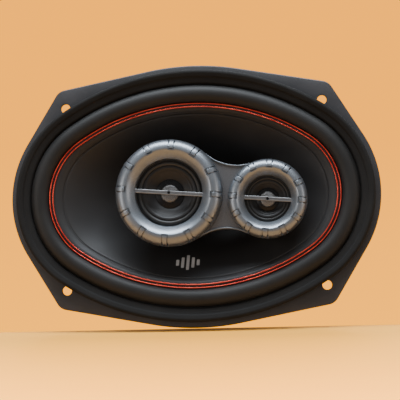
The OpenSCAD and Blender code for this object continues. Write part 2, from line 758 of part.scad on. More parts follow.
module small_surround(seat_r, cone_r, open_r) rotate_extrude() {
    mid = (cone_r + open_r) / 2 - 0.3;
    h = (open_r - cone_r) / 2 - 0.5;
    polygon(concat(
        [[cone_r - 1.2, frame_z + glue], [mid - h + small_roll_t, frame_z + glue]],
        arc(mid, frame_z + glue, h - small_roll_t, 180, 0, 8),
        [[seat_r - 0.6, frame_z + glue], [seat_r - 0.6, frame_z + small_roll_t],
         [mid + h, frame_z + small_roll_t]],
        arc(mid, frame_z + glue, h, 10, 170, 8),
        [[mid - h, frame_z + small_roll_t], [cone_r - 1.2, frame_z + small_roll_t]]));
}

// The height of a small cone's front at radius r
small_top = frame_z + small_roll_t + glue + small_cone_t;
function small_front(cone_r, coil_r, gap_z, r) =
    let (lip = cone_r - small_lip, t = (lip - r) / (lip - coil_r - glue))
    small_top - (small_top - gap_z - neck_rise) * ((1 + small_bow) * t - small_bow * t * t);

module small_cone(cone_r, coil_r, gap_z) rotate_extrude() {
    low = gap_z + neck_rise - 1;
    neck = coil_r + glue;
    front = [for (i = [0:6]) let (r = mix(cone_r - small_lip, neck, i / 6))
        [r, small_front(cone_r, coil_r, gap_z, r)]];
    polygon(concat(
        [[cone_r, small_top]], front, [[neck, low], [neck + small_cone_t, low]],
        [for (i = [5:-1:0]) front[i] - [0, small_cone_t]],
        [[cone_r, small_top - small_cone_t]]));
}

module small_cap(cap_r, cone_r, coil_r, gap_z) rotate_extrude() {
    z = small_front(cone_r, coil_r, gap_z, cap_r) + cap_t + glue;
    dome = [for (i = [0:8]) let (t = i / 8) [cap_r * (1 - t), z + cap_rise * sin(90 * t)]];
    polygon(concat(dome, [for (i = [8:-1:0]) [max(dome[i][0] - 0.4, 0), dome[i][1] - cap_t]]));
}

// A textured disc on top of the cap, curved with it
module small_dot(dot_r, cap_r, cone_r, coil_r, gap_z) rotate_extrude() {
    z = small_front(cone_r, coil_r, gap_z, cap_r) + cap_t + 2 * glue;
    curve = [for (i = [0:5]) let (r = dot_r * (1 - i / 5), t = 1 - r / cap_r)
        [r, z + cap_rise * sin(90 * t)]];
    polygon(concat([for (p = curve) p + [0, dot_t]], [for (i = [5:-1:0]) curve[i]]));
}

module small_coil(coil_r, gap_z)
    tube_wall(coil_r, coil_r - coil_t, gap_z - neck_rise, gap_z + coil_up);
module small_yoke(yoke_out, gap_z, floor_z) difference() {
    translate([0, 0, floor_z]) cylinder(r = yoke_out, h = gap_z - floor_z);
    translate([0, 0, floor_z + yoke_floor])
        cylinder(r = yoke_out - yoke_wall, h = gap_z - floor_z);
}
module small_magnet(coil_r, gap_z, floor_z)
    translate([0, 0, floor_z + yoke_floor])
        cylinder(r = coil_r - coil_t - 2 * gap, h = gap_z - plate_drop - floor_z - yoke_floor);
module small_plate(coil_r, gap_z)
    translate([0, 0, gap_z - plate_drop])
        cylinder(r = coil_r - coil_t - gap, h = small_plate_t);

module midrange_frame() upright() color([0.15, 0.15, 0.15]) in_pod(mid_x)
    small_frame(mid_seat_r, mid_open_r, mid_yoke_r, mid_gap_z, mid_coil_r);
module midrange_surround() upright() color([0.08, 0.08, 0.08]) in_pod(mid_x)
    small_surround(mid_seat_r, mid_cone_r, mid_open_r);
module midrange_cone() upright() color([0.06, 0.06, 0.06]) in_pod(mid_x)
    small_cone(mid_cone_r, mid_coil_r, mid_gap_z);
module midrange_cap() upright() color([0.03, 0.03, 0.03]) in_pod(mid_x)
    small_cap(mid_cap_r, mid_cone_r, mid_coil_r, mid_gap_z);
module midrange_dot() upright() color([0.62, 0.62, 0.62]) in_pod(mid_x)
    small_dot(mid_dot_r, mid_cap_r, mid_cone_r, mid_coil_r, mid_gap_z);
module midrange_coil() upright() color([0.72, 0.38, 0.15]) in_pod(mid_x)
    small_coil(mid_coil_r, mid_gap_z);
module midrange_plate() upright() color([0.7, 0.7, 0.7]) in_pod(mid_x)
    small_plate(mid_coil_r, mid_gap_z);
module midrange_magnet() upright() color([0.5, 0.5, 0.52]) in_pod(mid_x)
    small_magnet(mid_coil_r, mid_gap_z, mid_floor_z);
module midrange_yoke() upright() color([0.68, 0.68, 0.68]) in_pod(mid_x)
    small_yoke(mid_yoke_r, mid_gap_z, mid_floor_z);

module tweeter_frame() upright() color([0.15, 0.15, 0.15]) in_pod(twt_x)
    small_frame(twt_seat_r, twt_open_r, twt_yoke_r, twt_gap_z, twt_coil_r);
module tweeter_surround() upright() color([0.08, 0.08, 0.08]) in_pod(twt_x)
    small_surround(twt_seat_r, twt_cone_r, twt_open_r);
module tweeter_cone() upright() color([0.06, 0.06, 0.06]) in_pod(twt_x)
    small_cone(twt_cone_r, twt_coil_r, twt_gap_z);
module tweeter_cap() upright() color([0.03, 0.03, 0.03]) in_pod(twt_x)
    small_cap(twt_cap_r, twt_cone_r, twt_coil_r, twt_gap_z);
module tweeter_dot() upright() color([0.62, 0.62, 0.62]) in_pod(twt_x)
    small_dot(twt_dot_r, twt_cap_r, twt_cone_r, twt_coil_r, twt_gap_z);
module tweeter_coil() upright() color([0.72, 0.38, 0.15]) in_pod(twt_x)
    small_coil(twt_coil_r, twt_gap_z);
module tweeter_plate() upright() color([0.7, 0.7, 0.7]) in_pod(twt_x)
    small_plate(twt_coil_r, twt_gap_z);
module tweeter_magnet() upright() color([0.5, 0.5, 0.52]) in_pod(twt_x)
    small_magnet(twt_coil_r, twt_gap_z, twt_floor_z);
module tweeter_yoke() upright() color([0.68, 0.68, 0.68]) in_pod(twt_x)
    small_yoke(twt_yoke_r, twt_gap_z, twt_floor_z);

// ---------- crossover and wires ----------

module crossover_capacitors() upright() color([0.1, 0.15, 0.35]) for (sy = [-1, 1])
    translate([housing_out_r + capacitor_r + 0.2, sy * (capacitor_len + capacitor_gap) / 2,
               (ledge_z - sheet_t + plate_front_z) / 2])
        rotate([90, 0, 0]) cylinder(r = capacitor_r, h = capacitor_len, center = true);

// The pair runs from the terminals along the boot's slot and up the bore to the pod
module feed_wires() upright() color([0.5, 0.06, 0.05]) for (sx = [-1, 1]) {
    x = sx * wire_pitch;
    cable([
        [sx * 2.2, blade_y - 1.4, rivet_z - 6], [sx * 1.6, blade_y - 1.4, pad_z - 5],
        [x, min(blade_y, slot_y) - 0.5, magnet_front_z], [x, slot_y, magnet_front_z - 5],
        [x, slot_y, slot_z + 1.2], [x, slot_y + 0.35, slot_z + 0.35],
        [x, slot_y + 1.2, slot_z],
        [x, -3.5, slot_z], [x, -1.2, slot_z + 0.9], [x, 0, slot_z + 3],
        [x, 0, plate_front_z], [x, 0, mid_floor_z - 1], [x, 0, mid_floor_z + 1]],
        wire_r, [1, 0, 0]);
}

// Short leads inside the pod, from the top of the post to each small driver
module pod_wires() upright() color([0.5, 0.06, 0.05]) in_pod() {
    low = mid_floor_z + 3;
    wall_x = mid_x + mid_seat_r;
    far = twt_x - twt_yoke_r - 3;
    for (side = [-1, 1]) cable([
        [wall_x - 5.7, side - 0.9, low], [wall_x - 4.5, side * 1.3 - 0.4, low + 2.4],
        [wall_x - 2.5, side * 1.8, -0.3], [wall_x + 4, side * 2, 0.7], [wall_x + 10, side * 2, 1],
        [far, side * 2, 1]], pod_wire_r, [0, 1, 0]);
}

basket_frame();
gasket_ring();
surround();
woofer_cone();
trim_ring();
voice_coil_former();
voice_coil();
spider();
tinsel_leads();
terminal_board();
positive_terminal();
negative_terminal();
terminal_rivets();
top_plate();
ferrite_magnet();
pole_yoke();
magnet_boot();
basket_rivets();
centre_post();
post_screws();
pod_base();
bridge_plate();
midrange_bezel();
tweeter_bezel();
midrange_bar();
tweeter_bar();
midrange_frame();
midrange_surround();
midrange_cone();
midrange_cap();
midrange_dot();
midrange_coil();
midrange_plate();
midrange_magnet();
midrange_yoke();
tweeter_frame();
tweeter_surround();
tweeter_cone();
tweeter_cap();
tweeter_dot();
tweeter_coil();
tweeter_plate();
tweeter_magnet();
tweeter_yoke();
crossover_capacitors();
feed_wires();
pod_wires();
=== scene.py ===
# %% [markdown]
# # An oval three-way coaxial car speaker
# The real thing is a pressed steel basket with a roll-edged cone in it and, on a post through the
# voice coil, a silver pod that carries a midrange and a tweeter. The CAD frame fixes every place
# and size. This script loads it, builds finer pieces in the same places and gives each its finish.
# Lengths below are millimetres in the speaker's own layout: +Z along the sound axis to the
# listener, X along the long axis, z = 0 on the flange's back face. to_world() turns that into the
# frame's metres.

# %% Load the frame
import json
import math

import bmesh
import bpy
import numpy as np
from mathutils import Matrix, Vector
from mathutils.bvhtree import BVHTree


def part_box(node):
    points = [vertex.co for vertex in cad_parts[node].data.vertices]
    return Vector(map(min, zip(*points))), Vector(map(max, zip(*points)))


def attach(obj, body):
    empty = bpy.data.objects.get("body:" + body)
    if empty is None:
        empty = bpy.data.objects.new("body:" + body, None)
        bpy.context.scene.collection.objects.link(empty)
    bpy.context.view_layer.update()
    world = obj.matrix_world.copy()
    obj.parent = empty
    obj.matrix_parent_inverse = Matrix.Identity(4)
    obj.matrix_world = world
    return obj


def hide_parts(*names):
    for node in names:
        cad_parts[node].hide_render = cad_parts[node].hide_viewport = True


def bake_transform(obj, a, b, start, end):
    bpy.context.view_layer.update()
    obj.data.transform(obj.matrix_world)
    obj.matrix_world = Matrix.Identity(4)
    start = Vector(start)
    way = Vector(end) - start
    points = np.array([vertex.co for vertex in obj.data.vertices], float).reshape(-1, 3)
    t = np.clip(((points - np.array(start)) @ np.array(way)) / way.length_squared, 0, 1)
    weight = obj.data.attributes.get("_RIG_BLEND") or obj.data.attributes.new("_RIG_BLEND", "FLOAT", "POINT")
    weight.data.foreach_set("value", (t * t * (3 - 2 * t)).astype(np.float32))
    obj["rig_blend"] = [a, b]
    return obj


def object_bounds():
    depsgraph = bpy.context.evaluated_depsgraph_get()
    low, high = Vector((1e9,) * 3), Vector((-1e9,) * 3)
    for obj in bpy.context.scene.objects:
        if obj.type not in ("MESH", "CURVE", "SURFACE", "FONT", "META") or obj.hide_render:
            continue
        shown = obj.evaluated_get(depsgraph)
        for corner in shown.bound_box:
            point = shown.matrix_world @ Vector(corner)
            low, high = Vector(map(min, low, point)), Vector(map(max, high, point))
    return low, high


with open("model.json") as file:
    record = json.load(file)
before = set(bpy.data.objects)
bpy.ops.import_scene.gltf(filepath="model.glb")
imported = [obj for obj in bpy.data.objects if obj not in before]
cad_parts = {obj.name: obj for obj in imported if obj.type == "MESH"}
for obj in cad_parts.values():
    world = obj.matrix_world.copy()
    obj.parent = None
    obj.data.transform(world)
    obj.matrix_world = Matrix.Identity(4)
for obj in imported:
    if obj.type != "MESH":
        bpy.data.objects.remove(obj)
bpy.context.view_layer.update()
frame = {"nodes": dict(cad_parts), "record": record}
MM = 0.001
WOOFER, MIDRANGE, TWEETER = "woofer_diaphragm", "midrange_diaphragm", "tweeter_diaphragm"


# %% [markdown]
# ## Reading places from the frame
# A node's box gives where a piece sits. Turned into the speaker's layout, its high x is a half
# length, its high z a front height.

# %% From the layout to the frame and back
def to_world(points):
    """Layout points in millimetres to the frame's metres, front towards -Y."""
    p = np.asarray(points, float).reshape(-1, 3)
    return np.column_stack([p[:, 0], -p[:, 2], p[:, 1]]) * MM


def layout_box(node):
    """A node's lowest and highest corners in the layout, in millimetres."""
    lo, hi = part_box(node)
    low = np.array([lo.x, lo.z, -hi.y]) / MM
    high = np.array([hi.x, hi.z, -lo.y]) / MM
    return low, high


def mix(a, b, k):
    return a + (b - a) * k


# %% The driving sizes, from the frame
POD_TILT = math.radians(-5.0)
OVAL_STEPS = 288
END_C, END_R, HALF_W = 49.0, 43.0, 58.0
SIDE_R = (END_C ** 2 + HALF_W ** 2 - END_R ** 2) / (2 * (HALF_W - END_R))
SIDE_C, LINK = SIDE_R - HALF_W, SIDE_R - END_R
JOIN = math.atan2(SIDE_C, END_C)


def end_radius(node):
    """End radius of a node's outer oval: its half length less the end arc's centre."""
    return layout_box(node)[1][0] - END_C


def ring_of(node):
    """Centre and outer radius of a round node."""
    low, high = layout_box(node)
    return (low + high) / 2, (high[0] - low[0]) / 2


SHEET = 1.6
GASKET_R, GASKET_Z = end_radius("gasket_ring"), layout_box("gasket_ring")[1][2]
(MID_C, MID_RING), (TWT_C, TWT_RING) = ring_of("midrange_bezel"), ring_of("tweeter_bezel")
CLIP_UP = 0.2    # a bezel's clips stand this far out of its ring
MID_RING, TWT_RING = round(MID_RING - CLIP_UP, 1), round(TWT_RING - CLIP_UP, 1)
print("gasket", GASKET_R, GASKET_Z, "midrange", MID_C, MID_RING)


# %% [markdown]
# ## Surfaces from rings
# Nearly every part of a speaker is a ring: turned, pressed or moulded about the sound axis. A
# piece is therefore a stack of rings of points, joined by quads. An oval ring and a round ring
# carry the same number of points, so a cone that is oval in front and round at its neck is just a
# mix of the two.

# %% Outlines and rings
def unit_ring(steps=OVAL_STEPS):
    a = 2 * np.pi * np.arange(steps) / steps
    return np.column_stack([np.cos(a), np.sin(a)])


def round_ring(r, steps=OVAL_STEPS):
    return r * unit_ring(steps)


def oval_ring(r):
    """The four-centre oval with end radius r, one point for each outward direction."""
    c, s = unit_ring().T
    ends = np.column_stack([np.sign(c) * END_C + r * c, r * s])
    sides = np.column_stack([(r + LINK) * c, -np.sign(s) * SIDE_C + (r + LINK) * s])
    return np.where((np.abs(c) >= math.cos(JOIN))[:, None], ends, sides)


def at_height(ring, z):
    return np.column_stack([ring, np.full(len(ring), float(z))])


def oval_at(r, z):
    return at_height(oval_ring(r), z)


def round_at(r, z):
    return at_height(round_ring(r), z)


def rounded(corners, steps=4):
    """A closed outline from corners (x, y, fillet), each fillet a short curve."""
    out = []
    for i, (x, y, fillet) in enumerate(corners):
        p = np.array((x, y), float)
        before = np.array(corners[i - 1][:2], float) - p
        after = np.array(corners[(i + 1) % len(corners)][:2], float) - p
        if fillet == 0:
            out.append(p)
            continue
        longest = 0.48 * min(np.linalg.norm(before), np.linalg.norm(after))
        cut = min(fillet, longest)
        a = p + before / np.linalg.norm(before) * cut
        b = p + after / np.linalg.norm(after) * cut
        for k in np.linspace(0, 1, steps + 1):
            out.append((1 - k) ** 2 * a + 2 * k * (1 - k) * p + k * k * b)
    return np.array(out)


def arc(x, y, r, start, end, steps):
    """Points on an arc, angles in degrees."""
    a = np.radians(np.linspace(start, end, steps + 1))
    return np.column_stack([x + r * np.cos(a), y + r * np.sin(a)])


# %% Meshes from rings
def add_object(name, data):
    made = bpy.data.objects.new(name, data)
    bpy.context.scene.collection.objects.link(made)
    return made


def tidy_mesh(piece, sharp=35):
    """Merges a mesh, turns it outwards and smooths it but for its corners."""
    bm = bmesh.new()
    bm.from_mesh(piece.data)
    bmesh.ops.remove_doubles(bm, verts=bm.verts, dist=2e-6)
    bmesh.ops.dissolve_degenerate(bm, edges=bm.edges, dist=1e-6)
    bmesh.ops.recalc_face_normals(bm, faces=bm.faces)
    bm.to_mesh(piece.data)
    bm.free()
    piece.data.shade_smooth()
    piece.data.set_sharp_from_angle(angle=math.radians(sharp))
    return piece


def from_rings(name, rings, sharp=35, closed=True):
    """A piece from a stack of rings, closed on itself or capped at both ends."""
    count, steps = len(rings), len(rings[0])
    faces = []
    for j in range(count if closed else count - 1):
        k = (j + 1) % count
        for i in range(steps):
            n = (i + 1) % steps
            faces.append((j * steps + i, k * steps + i, k * steps + n, j * steps + n))
    if not closed:
        faces += [tuple(range(steps)), tuple(range((count - 1) * steps, count * steps))]
    mesh = bpy.data.meshes.new(name)
    mesh.from_pydata(to_world(np.vstack(rings)).tolist(), [], [list(f) for f in faces])
    return tidy_mesh(add_object(name, mesh), sharp)


def sweep_oval(name, profile, sharp=35):
    """A closed profile of (end radius, height) taken round the oval."""
    return from_rings(name, [oval_at(r, z) for r, z in profile], sharp)


def lathe(name, profile, centre=(0, 0), steps=192, sharp=35):
    """A closed profile of (radius, height) turned about an axis parallel to the sound axis."""
    rings = [at_height(round_ring(max(r, 0), steps) + np.array(centre[:2]), z) for r, z in profile]
    return from_rings(name, rings, sharp)


def section(r, circle, share, z):
    """A ring on the way from the oval with end radius r to a circle."""
    return at_height(mix(oval_ring(r), round_ring(circle), share), z)


# %% Joining, cutting and tubes
def join(name, pieces):
    """Several meshes as one piece, with their materials kept."""
    bpy.ops.object.select_all(action="DESELECT")
    for p in pieces:
        p.select_set(True)
    bpy.context.view_layer.objects.active = pieces[0]
    bpy.ops.object.join()
    pieces[0].name = pieces[0].data.name = name
    return pieces[0]


def cut(piece, cutters, operation="DIFFERENCE", sharp=35):
    """Takes the cutters out of a piece, or adds them to it, and removes them."""
    for tool in cutters:
        mod = piece.modifiers.new("cut", "BOOLEAN")
        mod.operation, mod.solver, mod.object = operation, "EXACT", tool
        bpy.context.view_layer.objects.active = piece
        bpy.ops.object.modifier_apply(modifier=mod.name)
        bpy.data.objects.remove(tool)
    return tidy_mesh(piece, sharp)


def smooth_path(points, per_span=8):
    """A Catmull-Rom curve through the points."""
    p = np.asarray(points, float)
    p = np.vstack([2 * p[0] - p[1], p, 2 * p[-1] - p[-2]])
    out = []
    for i in range(1, len(p) - 2):
        for t in np.linspace(0, 1, per_span, endpoint=False):
            a, b, c, d = p[i - 1:i + 3]
            out.append(0.5 * (2 * b + (c - a) * t + (2 * a - 5 * b + 4 * c - d) * t ** 2
                              + (3 * b - a - 3 * c + d) * t ** 3))
    return np.array(out + [p[-2]])


def tube(name, path, radius, sides=12):
    """A round tube along a path, with closed ends."""
    path = np.asarray(path, float)
    tangent = np.gradient(path, axis=0)
    tangent /= np.linalg.norm(tangent, axis=1)[:, None]
    normal = np.cross(tangent[0], (0.3, 0.2, 0.93))
    rings = []
    for p, t in zip(path, tangent):
        normal = normal - t * (normal @ t)
        normal /= np.linalg.norm(normal)
        side = np.cross(t, normal)
        rings.append(p + radius * (unit_ring(sides) @ np.array([normal, side])))
    return from_rings(name, rings, 60, closed=False)


def block(name, low, high, fillet):
    """A box between two layout corners, with its edges rounded."""
    low, high = np.minimum(low, high), np.maximum(low, high)
    bm = bmesh.new()
    bmesh.ops.create_cube(bm, size=1)
    for v in bm.verts:
        v.co = Vector(to_world((np.array(v.co) + 0.5) * (high - low) + low)[0])
    if fillet:
        bmesh.ops.bevel(bm, geom=bm.edges, offset=fillet * MM, segments=3,
                        profile=0.5, affect="EDGES", clamp_overlap=True)
    mesh = bpy.data.meshes.new(name)
    bm.to_mesh(mesh)
    bm.free()
    return tidy_mesh(add_object(name, mesh), 40)


def in_pod(points, x=0.0):
    """Points given along the pod's own axis, turned into the layout."""
    p = np.array(points, float)
    px, py = p[:, 0] + x, p[:, 1].copy()
    p[:, 0] = px * math.cos(POD_TILT) - py * math.sin(POD_TILT)
    p[:, 1] = px * math.sin(POD_TILT) + py * math.cos(POD_TILT)
    return p


# %% [markdown]
# ## Writing finishes as expressions
# A finish is a small node graph. Wrapping a socket in a class lets the graph be written as
# arithmetic: `dark + 0.2 * noise` adds the Math nodes by itself.

# %% The socket wrapper and the finish
class Wire:
    """A node's output that can be used in arithmetic."""

    def __init__(self, finish, socket):
        self.finish, self.socket = finish, socket

    def __add__(self, other): return self.finish.math("ADD", self, other)
    def __radd__(self, other): return self.finish.math("ADD", other, self)
    def __sub__(self, other): return self.finish.math("SUBTRACT", self, other)
    def __rsub__(self, other): return self.finish.math("SUBTRACT", other, self)
    def __mul__(self, other): return self.finish.math("MULTIPLY", self, other)
    def __rmul__(self, other): return self.finish.math("MULTIPLY", other, self)


class Finish:
    """A material whose graph ends in one Principled shader."""

    def __init__(self, name, **constants):
        self.material = bpy.data.materials.new(name)
        self.material.use_nodes = True
        self.tree = self.material.node_tree
        self.tree.nodes.clear()
        self.shader = self.tree.nodes.new("ShaderNodeBsdfPrincipled")
        out = self.tree.nodes.new("ShaderNodeOutputMaterial")
        self.tree.links.new(self.shader.outputs[0], out.inputs[0])
        self.set(**constants)
        self.place = self.node("ShaderNodeTexCoord", out="Object")

    def plug(self, socket, value):
        if isinstance(value, Wire):
            self.tree.links.new(value.socket, socket)
        elif isinstance(value, (tuple, list)) and socket.type == "RGBA" and len(value) == 3:
            socket.default_value = (*value, 1)
        else:
            socket.default_value = value

    def node(self, kind, settings=None, inputs=None, out=0):
        """Any node: its settings first, then values or wires for its sockets."""
        made = self.tree.nodes.new(kind)
        for key, value in (settings or {}).items():
            setattr(made, key, value)
        for key, value in (inputs or {}).items():
            self.plug(made.inputs[key], value)
        return Wire(self, made.outputs[out])

    def set(self, **inputs):
        """Plugs the shader's inputs, written with underscores for spaces."""
        for key, value in inputs.items():
            self.plug(self.shader.inputs[key.replace("_", " ")], value)

    def math(self, operation, *values):
        return self.node("ShaderNodeMath", {"operation": operation}, dict(enumerate(values)))

    def noise(self, size, detail=3.0, rough=0.55, vector=None, stretch=None):
        """Noise whose features are about size millimetres across."""
        if stretch:
            vector = self.node("ShaderNodeMapping", {}, {"Vector": vector or self.place,
                                                         "Scale": stretch})
        return self.node("ShaderNodeTexNoise", {}, {
            "Vector": vector or self.place, "Scale": 1 / (size * MM), "Detail": detail,
            "Roughness": rough})

    def along(self, letter):
        """One coordinate of the place on the piece."""
        return self.node("ShaderNodeSeparateXYZ", {}, {0: self.place}, out=letter)

    def blend(self, factor, a, b):
        return self.node("ShaderNodeMix", {"data_type": "RGBA"}, {0: factor, 6: a, 7: b}, out=2)

    def spread(self, value, low, high, out_low=0.0, out_high=1.0):
        return self.node("ShaderNodeMapRange", {}, {0: value, 1: low, 2: high, 3: out_low,
                                                    4: out_high})

    def between(self, value, a, b, low=0.3, high=0.7):
        """From colour a to colour b as a value climbs from low to high."""
        return self.blend(self.spread(value, low, high), a, b)

    def bump(self, height, depth):
        """Turns a height from 0 to 1 into relief that is depth millimetres high."""
        self.set(Normal=self.node("ShaderNodeBump", {}, {
            "Strength": 1.0, "Distance": depth * MM, "Height": height}))


def scaled(colour, k):
    return tuple(min(c * k, 1.0) for c in colour)


# %% Families of finishes
def moulded(name, colour, rough, grain, relief, shade=0.25, settings=None):
    """Moulded plastic or rubber: a fine pebbled skin, cloudy gloss and a little dust."""
    f = Finish(name, **(settings or {}))
    cloud, fine = f.noise(18, 4), f.noise(grain, 2)
    dust = f.spread(f.noise(3.5, 6, 0.7), 0.52, 0.75)
    tone = f.between(cloud, scaled(colour, 1 - shade), scaled(colour, 1 + shade))
    f.set(Base_Color=f.blend(dust * 0.12, tone, scaled(colour, 2.2)),
          Roughness=rough + 0.12 * (cloud - 0.5) + 0.1 * (fine - 0.5) + 0.05 * dust)
    f.bump(0.7 * fine + 0.3 * f.noise(grain * 3, 2), relief)
    return f.material


def metal(name, colour, rough, grain=0.25, relief=0.004):
    """Bare or plated metal: fine grain, cloudy gloss and faint stains."""
    f = Finish(name, Metallic=1.0)
    cloud, fine = f.noise(9, 5, 0.6), f.noise(grain, 3)
    stain = f.spread(f.noise(5, 6, 0.65), 0.55, 0.8)
    tone = f.between(cloud, scaled(colour, 0.86), scaled(colour, 1.08))
    f.set(Base_Color=f.blend(stain * 0.35, tone, scaled(colour, 0.6)),
          Roughness=rough + 0.16 * (cloud - 0.5) + 0.16 * (fine - 0.5) + 0.12 * stain)
    f.bump(fine, relief)
    return f.material


# %% Each finish of this speaker
# Colour, roughness, grain and relief in millimetres; some add a shade and the shader's settings.
MOULDED = {
    "basket_paint": ((0.02, 0.02, 0.023), 0.5, 0.45, 0.012),
    "gasket_foam": ((0.008, 0.008, 0.008), 0.78, 0.35, 0.03, 0.25, {"Specular_IOR_Level": 0.2}),
    "surround_rubber": ((0.011, 0.011, 0.011), 0.55, 0.3, 0.008, 0.15,
                        {"Specular_IOR_Level": 0.28}),
    "board_black": ((0.02, 0.018, 0.016), 0.6, 0.3, 0.01),
    "boot_rubber": ((0.014, 0.014, 0.014), 0.68, 0.5, 0.03),
    "post_black": ((0.015, 0.015, 0.016), 0.45, 0.4, 0.01),
    "pod_black": ((0.016, 0.016, 0.017), 0.5, 0.4, 0.015),
    "frame_black": ((0.014, 0.014, 0.015), 0.45, 0.4, 0.01),
    "small_surround": ((0.012, 0.012, 0.012), 0.45, 0.2, 0.006),
    "small_cone_black": ((0.01, 0.01, 0.011), 0.42, 0.25, 0.006, 0.25,
                         {"Specular_IOR_Level": 0.35}),
    "cap_black": ((0.004, 0.004, 0.005), 0.27, 0.2, 0.002, 0.25, {"Specular_IOR_Level": 0.25}),
    "wire_red": ((0.42, 0.02, 0.012), 0.4, 0.3, 0.01),
    "capacitor_sleeve": ((0.02, 0.045, 0.2), 0.3, 0.6, 0.01, 0.25, {"Coat_Weight": 0.3}),
}
METAL = {
    "copper_wire": ((0.72, 0.33, 0.14), 0.3, 0.2, 0.01),
    "tinsel_braid": ((0.75, 0.5, 0.3), 0.4, 0.2, 0.03),
    "tab_brass": ((0.76, 0.6, 0.3), 0.33),
    "tab_tin": ((0.7, 0.7, 0.68), 0.36),
    "rivet_steel": ((0.6, 0.6, 0.6), 0.34),
    "plate_zinc": ((0.6, 0.59, 0.55), 0.4, 0.4, 0.008),
    "magnet_nickel": ((0.6, 0.58, 0.55), 0.25),
}
finishes = {name: moulded(name, *values) for name, values in MOULDED.items()}
finishes.update({name: metal(name, *values) for name, values in METAL.items()})
print("simple finishes:", len(finishes))


# %% [markdown]
# ## Finishes with a pattern of their own
# The cone is satin polypropylene, the trim ring a clear red over bright foil, the bezels metallic
# paint on plastic, the dots stippled aluminium, the spider woven cotton dipped in resin and the
# magnet a gritty ceramic. Each pattern is read from Object coordinates, so it stays on the piece.

# %% Cone, trim and pod finishes
def cone_finish():
    f = Finish("cone_black", Specular_IOR_Level=0.33)
    cloud, fibre = f.noise(30, 4), f.noise(0.6, 3)
    f.set(Base_Color=f.between(cloud, (0.013, 0.013, 0.014), (0.019, 0.019, 0.02)),
          Roughness=0.52 + 0.1 * (cloud - 0.5) + 0.08 * (fibre - 0.5))
    f.bump(fibre, 0.006)
    return f.material


def trim_finish():
    """Two bright lines of foil; the channel between them, a little deeper, is painted near-black as shade.
    """
    f = Finish("trim_red", Coat_Weight=0.6, Coat_Roughness=0.15)
    cloud, fine = f.noise(8, 4), f.noise(0.35, 2)
    # painted shade: below the lines' tops the ring is darkened as shade in the channel
    channel_shade = f.spread(f.along("Y"), -4.05 * MM, -3.8 * MM)
    foil = f.between(cloud, (0.55, 0.02, 0.01), (0.9, 0.09, 0.04))
    f.set(Base_Color=f.blend(channel_shade, foil, (0.02, 0.002, 0.002)),
          Metallic=0.55 + 0.3 * fine, Roughness=0.25 + 0.1 * (fine - 0.5))
    f.bump(fine, 0.004)
    return f.material


def bezel_finish():
    """Metallic paint: flakes a tenth of a millimetre across change the tone and the gloss."""
    f = Finish("bezel_silver", Coat_Weight=0.25, Coat_Roughness=0.25)
    flake, cloud, grain = f.noise(0.22, 2, 0.8), f.noise(14, 4), f.noise(0.8, 3)
    tone = f.between(flake, (0.13, 0.145, 0.165), (0.26, 0.29, 0.325), 0.35, 0.65)
    f.set(Base_Color=f.blend(f.spread(cloud, 0.35, 0.7) * 0.3, tone, (0.16, 0.175, 0.195)),
          Metallic=0.72 + 0.2 * flake, Roughness=0.36 + 0.12 * (flake - 0.5) + 0.1 * (cloud - 0.5))
    f.bump(0.6 * grain + 0.4 * flake, 0.01)
    return f.material


def bridge_finish():
    """Spark-textured grey plastic."""
    f = Finish("bridge_grey", Metallic=0.35)
    spark, cloud = f.noise(0.55, 4, 0.7), f.noise(10, 4)
    tone = f.between(spark, (0.055, 0.056, 0.06), (0.13, 0.131, 0.138), 0.35, 0.65)
    f.set(Base_Color=f.blend(f.spread(cloud, 0.3, 0.7) * 0.4, tone, (0.1, 0.1, 0.105)),
          Roughness=0.5 + 0.15 * (spark - 0.5))
    f.bump(spark, 0.07)
    return f.material


def brushed_finish():
    """Aluminium brushed along the bar."""
    f = Finish("bar_silver", Metallic=1.0)
    turned = f.node("ShaderNodeMapping", {}, {"Vector": f.place, "Rotation": (0, -POD_TILT, 0)})
    lines = f.noise(1.2, 3, vector=turned, stretch=(0.12, 6, 6))
    f.set(Base_Color=f.between(lines, (0.2, 0.205, 0.215), (0.38, 0.385, 0.4)),
          Roughness=0.24 + 0.2 * lines)
    f.bump(lines, 0.01)
    return f.material


def dot_finish():
    """Stippled aluminium: a field of tiny raised pips, with the gaps between them painted darker as shade.
    """
    f = Finish("dot_silver", Metallic=0.9)
    cells = f.node("ShaderNodeTexVoronoi", {"feature": "SMOOTH_F1"},
                   {"Vector": f.place, "Scale": 1 / (0.3 * MM)})
    pip = f.spread(cells, 0.1, 0.6, 1.0, 0.0)
    cloud = f.noise(3, 3)
    # painted shade: the gaps between the pips are darker
    f.set(Base_Color=f.blend(pip, (0.09, 0.09, 0.09), (0.3, 0.3, 0.305)),
          Roughness=0.34 + 0.15 * (cloud - 0.5) + 0.1 * pip)
    f.bump(pip, 0.05)
    return f.material


# %% Cloth, film and ceramic finishes
def cloth_finish():
    """Plain weave in resin: threads half a millimetre apart both ways."""
    f = Finish("spider_cloth", Sheen_Weight=0.3)
    pitch = 2 * math.pi / (0.55 * MM)
    across, along = [f.math("SINE", f.along(letter) * pitch) for letter in "XZ"]
    weave = across * along * 0.5 + 0.5
    cloud = f.noise(7, 4)
    tone = f.blend(weave, (0.3, 0.19, 0.06), (0.6, 0.42, 0.17))
    f.set(Base_Color=f.blend(f.spread(cloud, 0.3, 0.7) * 0.35, tone, (0.34, 0.2, 0.06)),
          Roughness=0.7 - 0.15 * weave)
    f.bump(weave, 0.12)
    return f.material


def film_finish():
    """Amber film, cloudy in tone, with a faint fine relief."""
    f = Finish("former_film", Coat_Weight=0.5, Coat_Roughness=0.15)
    cloud = f.noise(4, 4)
    f.set(Base_Color=f.between(cloud, (0.42, 0.19, 0.03), (0.6, 0.33, 0.09)),
          Roughness=0.28 + 0.12 * cloud)
    f.bump(f.noise(0.6, 3), 0.01)
    return f.material


